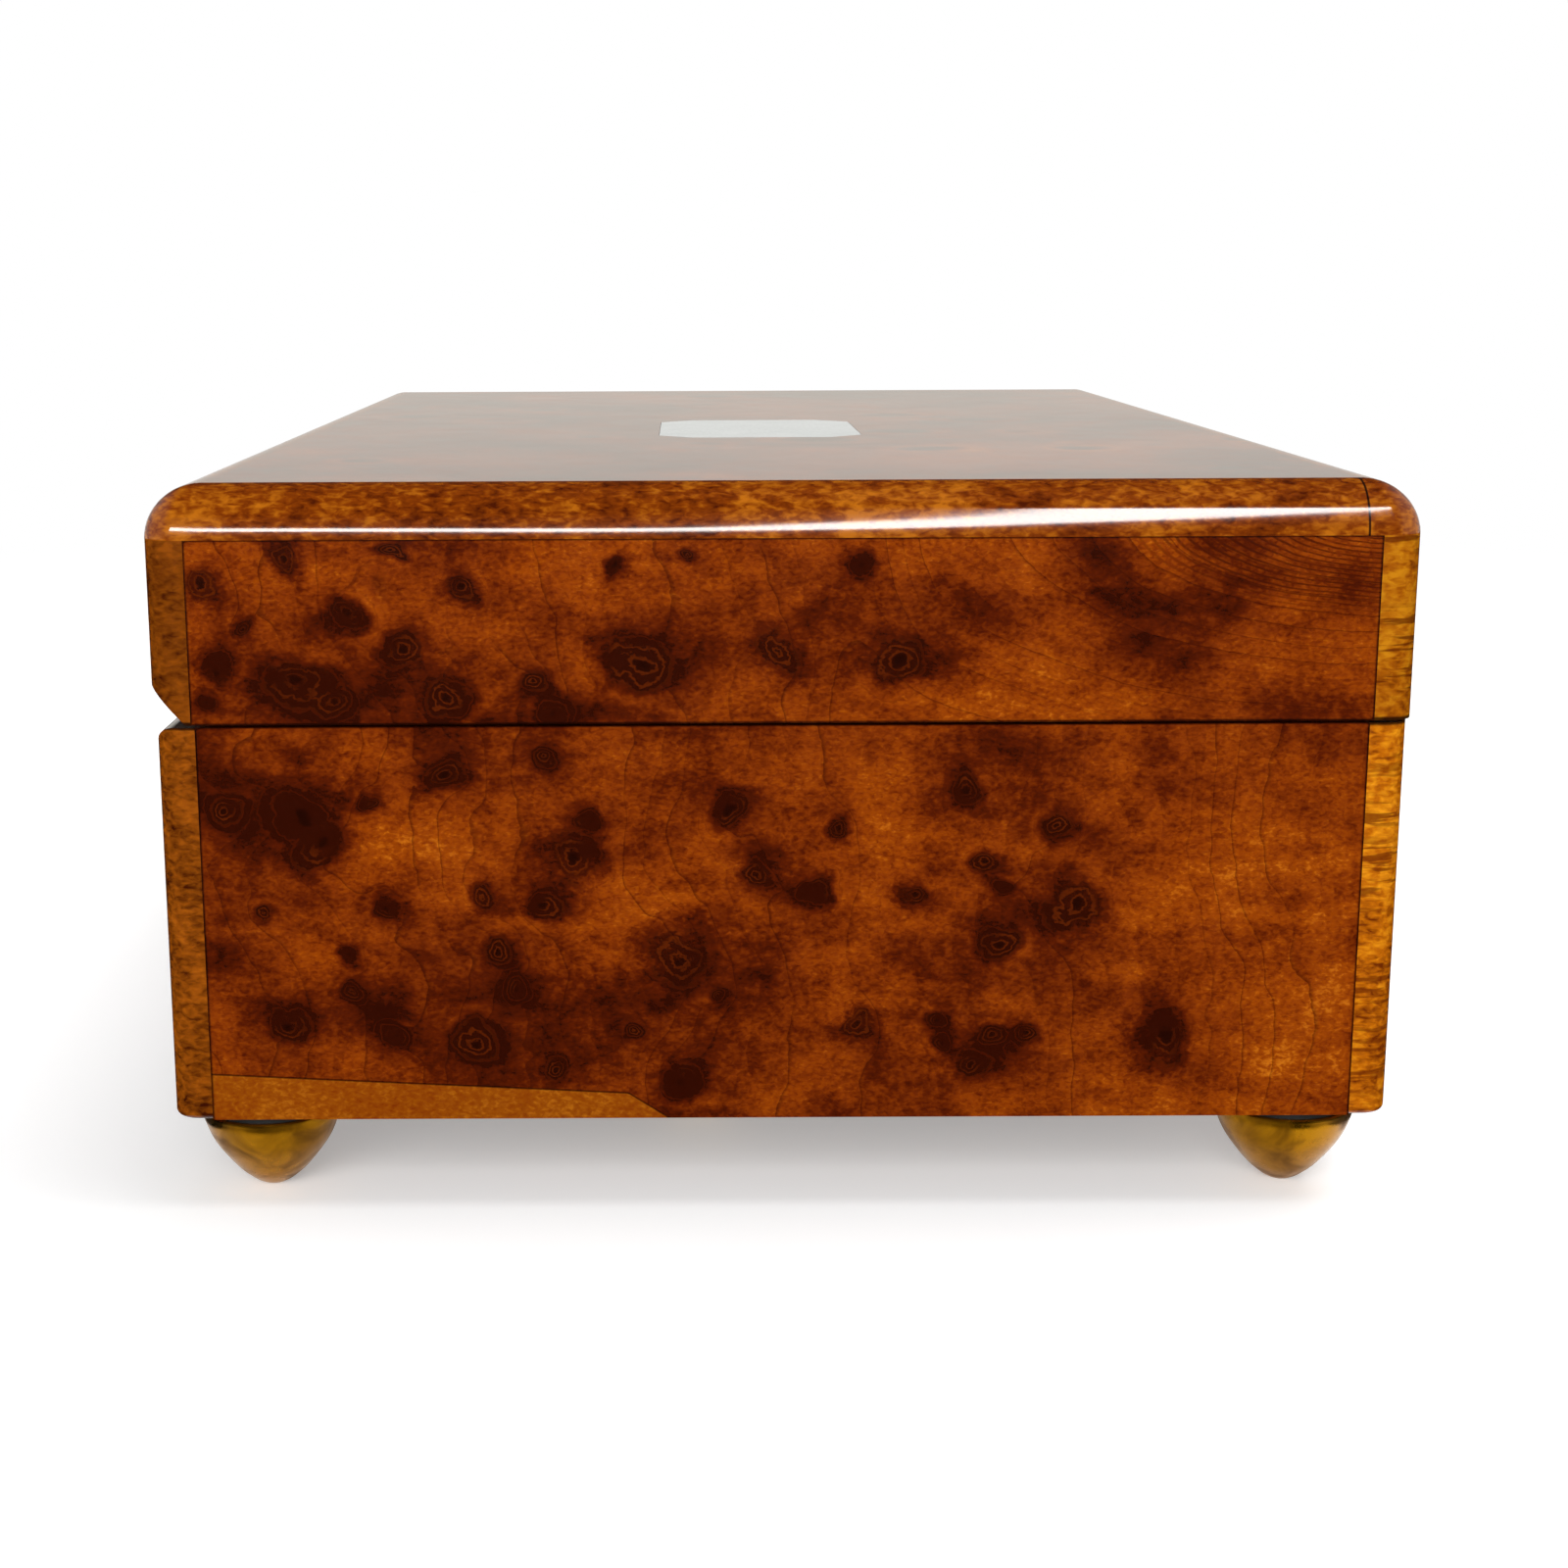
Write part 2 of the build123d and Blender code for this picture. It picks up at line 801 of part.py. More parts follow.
with BuildPart() as lid_top_panel:
    with Locations((0, 0, lipping_bottom)):
        Box(
            lid_length - 2 * lipping_width,
            lid_width - 2 * lipping_width,
            lipping_height,
            align=(Align.CENTER, Align.CENTER, Align.MIN),
        )
    with BuildSketch(Plane((inlay_x, 0, lid_top - inlay_thickness))):
        inlay_outline(fit_gap)
    extrude(amount=inlay_thickness, mode=Mode.SUBTRACT)
finish(lid_top_panel.part, "lid_top_panel")

with BuildPart() as lid_inlay:
    with BuildSketch(Plane((inlay_x, 0, lid_top - inlay_thickness))):
        inlay_outline(0)
    extrude(amount=inlay_thickness)
finish(lid_inlay.part, "lid_inlay")

with BuildPart() as lid_lining:
    with Locations((0, 0, lipping_bottom)):
        Box(
            2 * lid_inner_x - 2 * fit_gap,
            2 * lid_inner_y - 2 * fit_gap,
            lid_lining_thickness,
            align=(Align.CENTER, Align.CENTER, Align.MAX),
        )
finish(lid_lining.part, "lid_lining")

# Hinges: two butt hinges on one pin line
knuckle_middle = hinge_length - 2 * end_knuckle - 2 * knuckle_gap
leaf_neck = leaf_edge + leaf_depth / 2


def knuckle(places, length, leaf_bottom):
    """Knuckles on the pin's line, each with the neck that joins it to its leaf."""
    with BuildPart() as piece:
        with Locations(*[(x, hinge_y, leaf_bottom) for x in places]):
            Box(length, leaf_neck, leaf_thickness, align=(Align.CENTER, Align.MAX, Align.MIN))
        with Locations(*[(x, hinge_y, hinge_z) for x in places]):
            Cylinder(knuckle_radius, length, rotation=(0, 90, 0))
            Cylinder(
                pin_radius + fit_gap,
                length,
                rotation=(0, 90, 0),
                mode=Mode.SUBTRACT,
            )
    return piece.part


outer_knuckles = []
middle_knuckles = []
for middle in (-hinge_spacing / 2, hinge_spacing / 2):
    outer_knuckles.append(middle - hinge_length / 2 + end_knuckle / 2)
    outer_knuckles.append(middle + hinge_length / 2 - end_knuckle / 2)
    middle_knuckles.append(middle)

with BuildPart() as hinge_case_leaves:
    add(leaf_bed(case_top - leaf_thickness, hinge_y - leaf_edge, 0))
    add(knuckle(outer_knuckles, end_knuckle, case_top - leaf_thickness))
    add(leaf_screws(case_top, 180, fit_gap), mode=Mode.SUBTRACT)
finish(hinge_case_leaves.part, "hinge_case_leaves")

with BuildPart() as hinge_lid_leaves:
    add(leaf_bed(lid_bottom, hinge_y - leaf_edge, 0))
    add(knuckle(middle_knuckles, knuckle_middle, lid_bottom))
    add(leaf_screws(lid_bottom, 0, fit_gap), mode=Mode.SUBTRACT)
finish(hinge_lid_leaves.part, "hinge_lid_leaves")

with BuildPart() as hinge_pins:
    with Locations(*hinge_middles()):
        Cylinder(pin_radius, hinge_length, rotation=(0, 90, 0))
finish(hinge_pins.part, "hinge_pins")

finish(leaf_screws(case_top, 180, 0), "hinge_case_screws")
finish(leaf_screws(lid_bottom, 0, 0), "hinge_lid_screws")

# Glass over the movement, in a rebated frame notched for the stop wire
frame_left = -inner_x
frame_length = divider_left + inner_x
frame_x = (divider_left - inner_x) / 2
with BuildPart() as glass_frame:
    with Locations((frame_x, 0, glass_frame_bottom)):
        Box(
            frame_length,
            2 * inner_y,
            glass_frame_height,
            align=(Align.CENTER, Align.CENTER, Align.MIN),
        )
        Box(
            frame_length - 2 * glass_frame_width,
            2 * inner_y - 2 * glass_frame_width,
            glass_frame_height,
            align=(Align.CENTER, Align.CENTER, Align.MIN),
            mode=Mode.SUBTRACT,
        )
    with Locations((frame_x, 0, glass_bottom)):
        Box(
            frame_length - 2 * glass_rebate,
            2 * inner_y - 2 * glass_rebate,
            glass_thickness,
            align=(Align.CENTER, Align.CENTER, Align.MIN),
            mode=Mode.SUBTRACT,
        )
    with Locations((stop_x, inner_y, glass_frame_bottom)):
        Box(
            stop_slot_width,
            2 * glass_frame_width,
            glass_bottom - glass_frame_bottom,
            align=(Align.CENTER, Align.CENTER, Align.MIN),
            mode=Mode.SUBTRACT,
        )
finish(glass_frame.part, "glass_frame")

with BuildPart() as glass_pane:
    with Locations((frame_x, 0, glass_bottom)):
        Box(
            frame_length - 2 * glass_rebate - 2 * fit_gap,
            2 * inner_y - 2 * glass_rebate - 2 * fit_gap,
            glass_thickness,
            align=(Align.CENTER, Align.CENTER, Align.MIN),
        )
finish(glass_pane.part, "glass_pane")

# Bedplate on four bosses
with BuildPart() as bedplate:
    with Locations((bed_x, bed_y, bed_bottom)):
        Box(
            bed_length,
            bed_width,
            bed_thickness,
            align=(Align.CENTER, Align.CENTER, Align.MIN),
        )
    with Locations(*[(x, y, floor_top) for x, y, z in bed_screws]):
        Cylinder(boss_radius, boss_height, align=(Align.CENTER, Align.CENTER, Align.MIN))
    with Locations((barrel_x, axis_y, bed_bottom)):
        Cylinder(
            winding_radius + fit_gap,
            bed_thickness,
            align=(Align.CENTER, Align.CENTER, Align.MIN),
            mode=Mode.SUBTRACT,
        )
    add(shank_holes(bed_screws, bed_screw_length), mode=Mode.SUBTRACT)
    add(shank_holes(bracket_screws, bracket_screw_length), mode=Mode.SUBTRACT)
    add(shank_holes(cock_screws, cock_screw_length), mode=Mode.SUBTRACT)
finish(bedplate.part, "bedplate")
finish(plate_screws(bed_screws, bed_screw_length), "movement_screws")

# Brackets that carry the cylinder and the second arbor
with BuildPart() as left_bracket:
    with Locations((left_bracket_left, axis_y, bed_top)):
        Box(
            bracket_thickness,
            bracket_width,
            axis_rise + bracket_head,
            align=(Align.MIN, Align.CENTER, Align.MIN),
        )
        Box(
            bracket_thickness + bracket_foot,
            bracket_width,
            bracket_foot_thickness,
            align=(Align.MIN, Align.CENTER, Align.MIN),
        )
    with Locations((left_bracket_left, axis_y, axis_z)):
        Cylinder(
            arbor_radius + fit_gap,
            3 * bracket_thickness,
            rotation=(0, 90, 0),
            mode=Mode.SUBTRACT,
        )
    add(shank_holes(bracket_screws, bracket_screw_length), mode=Mode.SUBTRACT)
finish(left_bracket.part, "left_bracket")

right_front = axis_y - bracket_width / 2
right_back = second_y + 3 * arbor_radius
with BuildPart() as right_bracket:
    with Locations((right_bracket_left, right_front, bed_top)):
        Box(
            governor_bracket_thickness,
            bracket_width,
            axis_rise + bracket_head,
            align=Align.MIN,
        )
        Box(
            governor_bracket_thickness,
            right_back - right_front,
            second_z + governor_cheek_head - bed_top,
            align=Align.MIN,
        )
        Box(
            cheek_right - right_bracket_left,
            right_back - right_front,
            bracket_foot_thickness,
            align=Align.MIN,
        )
    with Locations((cheek_left, second_y - 3 * arbor_radius, bed_top)):
        Box(
            governor_cheek_thickness,
            right_back - second_y + 3 * arbor_radius,
            second_z + governor_cheek_head - bed_top,
            align=Align.MIN,
        )
    with Locations((right_bracket_left, axis_y, axis_z)):
        Cylinder(
            arbor_radius + fit_gap,
            3 * governor_bracket_thickness,
            rotation=(0, 90, 0),
            mode=Mode.SUBTRACT,
        )
    with Locations((right_bracket_left, second_y, second_z)):
        Cylinder(
            second_radius + fit_gap,
            4 * (cheek_right - right_bracket_left),
            rotation=(0, 90, 0),
            mode=Mode.SUBTRACT,
        )
    add(shank_holes(bracket_screws, bracket_screw_length), mode=Mode.SUBTRACT)
finish(right_bracket.part, "right_bracket")

# Cylinder with its arbor, drive pinion and governor wheel
with BuildPart() as music_cylinder:
    with BuildSketch(Plane.YZ.offset(cylinder_left)):
        with Locations((axis_y, axis_z)):
            Circle(cylinder_radius)
            Circle(arbor_radius + fit_gap, mode=Mode.SUBTRACT)
    extrude(amount=cylinder_length)
    with BuildSketch(Plane.YZ.offset(cylinder_left + cylinder_shell)):
        with Locations((axis_y, axis_z)):
            Circle(cylinder_radius - cylinder_shell)
    extrude(amount=cylinder_length - 2 * cylinder_shell, mode=Mode.SUBTRACT)
finish(music_cylinder.part, "music_cylinder")

arbor_left = pinion_x - pinion_face / 2 - arbor_radius
arbor_right = right_bracket_right + arbor_radius
with BuildPart() as cylinder_arbor:
    with BuildSketch(Plane.YZ.offset(arbor_left)):
        with Locations((axis_y, axis_z)):
            Circle(arbor_radius)
    extrude(amount=arbor_right - arbor_left)
finish(cylinder_arbor.part, "cylinder_arbor")

with BuildPart() as drive_pinion:
    with BuildSketch(Plane((pinion_x - pinion_face / 2, axis_y, axis_z), (0, 1, 0), (1, 0, 0))):
        gear_face(
            pinion_teeth,
            pinion_radius - pinion_dedendum,
            pinion_radius + pinion_addendum,
            pinion_tooth_width,
            0,
        )
        Circle(arbor_radius + fit_gap, mode=Mode.SUBTRACT)
    extrude(amount=pinion_face)
finish(drive_pinion.part, "drive_pinion")

with BuildPart() as governor_wheel:
    with BuildSketch(Plane((wheel_left, axis_y, axis_z), (0, 1, 0), (1, 0, 0))):
        gear_face(
            wheel_teeth,
            wheel_radius - wheel_dedendum,
            wheel_radius + wheel_addendum,
            wheel_tooth_width,
            0,
        )
        Circle(arbor_radius + fit_gap, mode=Mode.SUBTRACT)
        with PolarLocations(wheel_radius * 0.55, 4, start_angle=45):
            Circle(wheel_radius * 0.2, mode=Mode.SUBTRACT)
    extrude(amount=wheel_thickness)
finish(governor_wheel.part, "governor_wheel")

# Comb, its base and its screws
with BuildPart() as comb:
    with BuildSketch(Plane.XY.offset(comb_bottom)):
        with Locations((comb_x, comb_back_y)):
            Rectangle(comb_width, comb_depth, align=(Align.CENTER, Align.MIN))
        with Locations((comb_x, comb_tip_y)):
            with GridLocations(comb_tooth_spacing, comb_tooth_spacing, comb_teeth - 1, 1):
                Rectangle(
                    comb_slot,
                    comb_slot_depth,
                    align=(Align.CENTER, Align.MAX),
                    mode=Mode.SUBTRACT,
                )
    extrude(amount=comb_thickness)
    add(shank_holes(comb_screw_places, comb_screw_length), mode=Mode.SUBTRACT)
finish(comb.part, "comb")

with BuildPart() as comb_base:
    with Locations((comb_x, comb_back_y - comb_base_overhang, bed_top)):
        Box(
            comb_width + 2 * comb_base_overhang,
            comb_base_depth + comb_base_overhang,
            comb_bottom - bed_top,
            align=(Align.CENTER, Align.MIN, Align.MIN),
        )
    add(shank_holes(comb_screw_places, comb_screw_length), mode=Mode.SUBTRACT)
finish(comb_base.part, "comb_base")
finish(plate_screws(comb_screw_places, comb_screw_length), "comb_screws")

# Spring barrel, its cover and the mainspring
with BuildPart() as spring_barrel:
    with BuildSketch(Plane((barrel_x, axis_y, barrel_bottom))):
        Circle(barrel_radius)
        Circle(barrel_radius - barrel_shell, mode=Mode.SUBTRACT)
    extrude(amount=barrel_height - barrel_plate)
    with BuildSketch(Plane((barrel_x, axis_y, barrel_top - barrel_plate))):
        Circle(barrel_radius)
        Circle(winding_radius + fit_gap, mode=Mode.SUBTRACT)
    extrude(amount=barrel_plate)
    with BuildSketch(Plane((barrel_x, axis_y, barrel_top))):
        with PolarLocations(crown_mean_radius, crown_teeth):
            Rectangle(crown_face, crown_tooth_width)
    extrude(amount=crown_tooth_height)
finish(spring_barrel.part, "spring_barrel")

with BuildPart() as barrel_cover:
    with BuildSketch(Plane((barrel_x, axis_y, barrel_bottom))):
        Circle(barrel_radius - barrel_shell - fit_gap)
        Circle(winding_radius + fit_gap, mode=Mode.SUBTRACT)
    extrude(amount=barrel_plate)
finish(barrel_cover.part, "barrel_cover")

with BuildPart() as mainspring:
    with BuildSketch(Plane((barrel_x, axis_y, barrel_bottom + barrel_plate + fit_gap))):
        Circle(barrel_radius - barrel_shell - spring_clearance)
        Circle(spring_bore, mode=Mode.SUBTRACT)
    extrude(amount=barrel_height - 2 * barrel_plate - 2 * fit_gap)
finish(mainspring.part, "mainspring")

# Bridge over the barrel
with BuildPart() as barrel_bridge:
    with Locations((barrel_x, axis_y, bridge_bottom)):
        Box(
            bridge_arm_width,
            2 * bridge_post_reach + 2 * bridge_post_radius,
            bridge_thickness,
            align=(Align.CENTER, Align.CENTER, Align.MIN),
        )
    with Locations(
        (barrel_x, axis_y - bridge_post_reach, bed_top),
        (barrel_x, axis_y + bridge_post_reach, bed_top),
    ):
        Cylinder(
            bridge_post_radius,
            bridge_bottom - bed_top,
            align=(Align.CENTER, Align.CENTER, Align.MIN),
        )
    with Locations((barrel_x, axis_y, bridge_bottom)):
        Cylinder(
            winding_radius + fit_gap,
            bridge_thickness,
            align=(Align.CENTER, Align.CENTER, Align.MIN),
            mode=Mode.SUBTRACT,
        )
    add(shank_holes(bridge_screws, bridge_screw_length), mode=Mode.SUBTRACT)
    add(shank_holes(click_screw, click_screw_length), mode=Mode.SUBTRACT)
finish(barrel_bridge.part, "barrel_bridge")

# Winding arbor, ratchet and key
key_hub_bottom = key_top - key_hub_height
with BuildPart() as winding_arbor:
    with Locations((barrel_x, axis_y, key_top - key_grip)):
        Cylinder(
            winding_radius,
            ratchet_top + winding_top - key_top + key_grip,
            align=(Align.CENTER, Align.CENTER, Align.MIN),
        )
finish(winding_arbor.part, "winding_arbor")

with BuildPart() as ratchet_wheel:
    with BuildSketch(Plane((barrel_x, axis_y, ratchet_bottom))):
        Circle(ratchet_radius)
        tooth_back = radians(360 / ratchet_teeth)
        with PolarLocations(0, ratchet_teeth):
            Polygon(
                (ratchet_radius * 0.8, 0),
                (ratchet_tip_radius, 0),
                (ratchet_radius * cos(tooth_back), ratchet_radius * sin(tooth_back)),
                align=None,
            )
        Circle(winding_radius + fit_gap, mode=Mode.SUBTRACT)
    extrude(amount=ratchet_thickness)
finish(ratchet_wheel.part, "ratchet_wheel")

key_middle = key_hub_bottom + key_hub_height / 2
with BuildPart() as winding_key:
    with BuildSketch(Plane((barrel_x, axis_y, key_middle), (1, 0, 0), (0, -1, 0))):
        with Locations((-key_wing_reach, 0), (key_wing_reach, 0)):
            Ellipse(key_wing_length / 2, key_wing_height / 2)
            Ellipse(
                key_wing_length / 2 - key_wing_rim,
                key_wing_height / 2 - key_wing_rim,
                mode=Mode.SUBTRACT,
            )
    extrude(amount=key_thickness / 2, both=True)
    with Locations((barrel_x, axis_y, key_hub_bottom)):
        Cylinder(
            key_hub_radius,
            key_hub_height,
            align=(Align.CENTER, Align.CENTER, Align.MIN),
        )
    with Locations((barrel_x, axis_y, key_top)):
        Cylinder(
            winding_radius + fit_gap,
            key_grip + fit_gap,
            align=(Align.CENTER, Align.CENTER, Align.MAX),
            mode=Mode.SUBTRACT,
        )
finish(winding_key.part, "winding_key")

# Click that drops behind the ratchet's teeth
nose_x = barrel_x + click_nose_dx
nose_y = axis_y + ratchet_tip_radius + click_nose_gap
with BuildPart() as click:
    with BuildSketch(Plane.XY.offset(ratchet_bottom)):
        with Locations((click_x, click_y)):
            Circle(click_hub_radius)
        Polygon(
            (nose_x, nose_y),
            (click_x + click_hub_radius * 0.8, click_y - click_hub_radius * 0.5),
            (click_x - click_hub_radius * 0.9, click_y),
            align=None,
        )
        with Locations((click_x, click_y)):
            Circle(screw_shank + fit_gap, mode=Mode.SUBTRACT)
    extrude(amount=ratchet_thickness)
finish(click.part, "click")

# Second arbor with its pinion, and the worm wheel
second_left = wheel_left - wheel_gap / 2
with BuildPart() as second_arbor:
    with BuildSketch(Plane.YZ.offset(second_left)):
        with Locations((second_y, second_z)):
            Circle(second_radius)
    extrude(amount=cheek_right - second_left)
    with BuildSketch(Plane((wheel_left, second_y, second_z), (0, 1, 0), (1, 0, 0))):
        gear_face(
            second_teeth,
            second_pitch_radius - wheel_dedendum,
            second_pitch_radius + wheel_addendum,
            wheel_tooth_width,
            180 / second_teeth,
        )
    extrude(amount=wheel_thickness)
finish(second_arbor.part, "second_arbor")

with BuildPart() as worm_wheel:
    with BuildSketch(
        Plane((worm_x - worm_wheel_thickness / 2, second_y, second_z), (0, 1, 0), (1, 0, 0))
    ):
        gear_face(
            worm_wheel_teeth,
            worm_wheel_radius - wheel_dedendum,
            worm_wheel_radius + wheel_addendum,
            wheel_tooth_width,
            0,
        )
        Circle(second_radius + fit_gap, mode=Mode.SUBTRACT)
    extrude(amount=worm_wheel_thickness)
finish(worm_wheel.part, "worm_wheel")

# Fly: the arbor with its worm, and the blades that brake it
cock_foot_top = bed_top + cock_foot_thickness
fly_bottom = cock_foot_top - pivot_depth + pivot_play
fly_top = cock_arm_z + pivot_depth - pivot_play
with BuildPart() as fly_arbor:
    with Locations((worm_x, fly_y, fly_bottom)):
        Cylinder(fly_radius, fly_top - fly_bottom, align=(Align.CENTER, Align.CENTER, Align.MIN))
    with Locations((worm_x, fly_y, second_z)):
        Cylinder(worm_radius, worm_length)
finish(fly_arbor.part, "fly_arbor")

with BuildPart() as fly_blades:
    with BuildSketch(Plane((worm_x, fly_y, bed_top + fly_blade_bottom))):
        Circle(fly_hub_radius)
        Rectangle(2 * fly_reach, fly_blade_thickness)
        Circle(fly_radius + fit_gap, mode=Mode.SUBTRACT)
    extrude(amount=fly_blade_height)
finish(fly_blades.part, "fly_blades")

with BuildPart() as governor_cock:
    with Locations((worm_x, cock_back, bed_top)):
        Box(
            cock_foot_length,
            cock_post_depth,
            cock_foot_thickness,
            align=(Align.CENTER, Align.MAX, Align.MIN),
        )
        Box(
            cock_arm_width,
            cock_back - fly_y + cock_front,
            cock_foot_thickness,
            align=(Align.CENTER, Align.MAX, Align.MIN),
        )
        Box(
            cock_arm_width,
            cock_post_depth,
            cock_arm_bottom + cock_arm_thickness,
            align=(Align.CENTER, Align.MAX, Align.MIN),
        )
    with Locations((worm_x, cock_back, cock_arm_z)):
        Box(
            cock_arm_width,
            cock_back - fly_y + cock_front,
            cock_arm_thickness,
            align=(Align.CENTER, Align.MAX, Align.MIN),
        )
    with Locations((worm_x, fly_y, cock_foot_top)):
        Cylinder(
            fly_radius + fit_gap,
            pivot_depth,
            align=(Align.CENTER, Align.CENTER, Align.MAX),
            mode=Mode.SUBTRACT,
        )
    with Locations((worm_x, fly_y, cock_arm_z)):
        Cylinder(
            fly_radius + fit_gap,
            pivot_depth,
            align=(Align.CENTER, Align.CENTER, Align.MIN),
            mode=Mode.SUBTRACT,
        )
    add(shank_holes(cock_screws, cock_screw_length), mode=Mode.SUBTRACT)
finish(governor_cock.part, "governor_cock")

# Screws of one size that hold the brackets, the cock, the bridge and the click
with BuildPart() as plate_screw_set:
    add(plate_screws(bracket_screws, bracket_screw_length))
    add(plate_screws(cock_screws, cock_screw_length))
    add(plate_screws(bridge_screws, bridge_screw_length))
    add(plate_screws(click_screw, click_screw_length))
finish(plate_screw_set.part, "plate_screws")

# Stop wire: a stem in the back wall, and an arm over the fly
with BuildPart() as stop_wire:
    with Locations((stop_x, stop_y, case_top)):
        Cylinder(stop_stem_radius, stop_stem_length, align=(Align.CENTER, Align.CENTER, Align.MAX))
    with Locations(Location((stop_x, stop_y, stop_arm_z), (90, 0, 0))):
        Cylinder(stop_arm_radius, stop_arm_reach, align=(Align.CENTER, Align.CENTER, Align.MIN))
finish(stop_wire.part, "stop_wire")

print(len(made), "pieces written")
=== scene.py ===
"""Visual model of a burl veneered music box.

A lacquered case and hinged lid, brass feet, a comb movement under glass and a lined tray.

Metres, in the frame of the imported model. X runs along the case, the front faces -Y and the hinges lie at +Y.
"""

import logging
import math
from dataclasses import dataclass
from enum import Enum

import bmesh
import bpy
import numpy as np
from mathutils import Matrix, Vector


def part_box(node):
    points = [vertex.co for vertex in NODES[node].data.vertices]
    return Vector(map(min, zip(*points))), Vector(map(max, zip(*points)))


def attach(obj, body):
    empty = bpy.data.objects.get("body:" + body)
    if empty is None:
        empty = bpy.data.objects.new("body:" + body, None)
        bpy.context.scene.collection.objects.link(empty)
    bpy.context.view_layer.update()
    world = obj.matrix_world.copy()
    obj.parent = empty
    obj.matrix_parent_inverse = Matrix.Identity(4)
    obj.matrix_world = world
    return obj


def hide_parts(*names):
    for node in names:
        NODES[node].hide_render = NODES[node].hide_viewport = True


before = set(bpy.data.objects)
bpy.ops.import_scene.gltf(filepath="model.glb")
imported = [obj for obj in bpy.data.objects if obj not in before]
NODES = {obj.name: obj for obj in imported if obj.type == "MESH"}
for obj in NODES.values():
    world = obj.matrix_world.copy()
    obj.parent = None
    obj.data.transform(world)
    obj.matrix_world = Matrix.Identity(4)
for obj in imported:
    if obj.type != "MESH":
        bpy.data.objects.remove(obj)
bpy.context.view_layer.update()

LOG = logging.getLogger("music_box")
MM = 0.001
TRIPLE = tuple[float, float, float]
COLOUR = TRIPLE


# Shader maths


class Term:
    """A number socket that takes part in Python arithmetic."""

    def __init__(self, graph: "Graph", socket: bpy.types.NodeSocket) -> None:
        """Keep the socket and the graph that new nodes go into."""
        self.graph = graph
        self.socket = socket

    def __add__(self, other: "Term | float") -> "Term":
        """Sum."""
        return self.graph.maths("ADD", self, other)

    __radd__ = __add__

    def __sub__(self, other: "Term | float") -> "Term":
        """Difference."""
        return self.graph.maths("SUBTRACT", self, other)

    def __rsub__(self, other: float) -> "Term":
        """Difference from a number."""
        return self.graph.maths("SUBTRACT", other, self)

    def __mul__(self, other: "Term | float") -> "Term":
        """Product."""
        return self.graph.maths("MULTIPLY", self, other)

    __rmul__ = __mul__

    def __truediv__(self, other: "Term | float") -> "Term":
        """Quotient."""
        return self.graph.maths("DIVIDE", self, other)


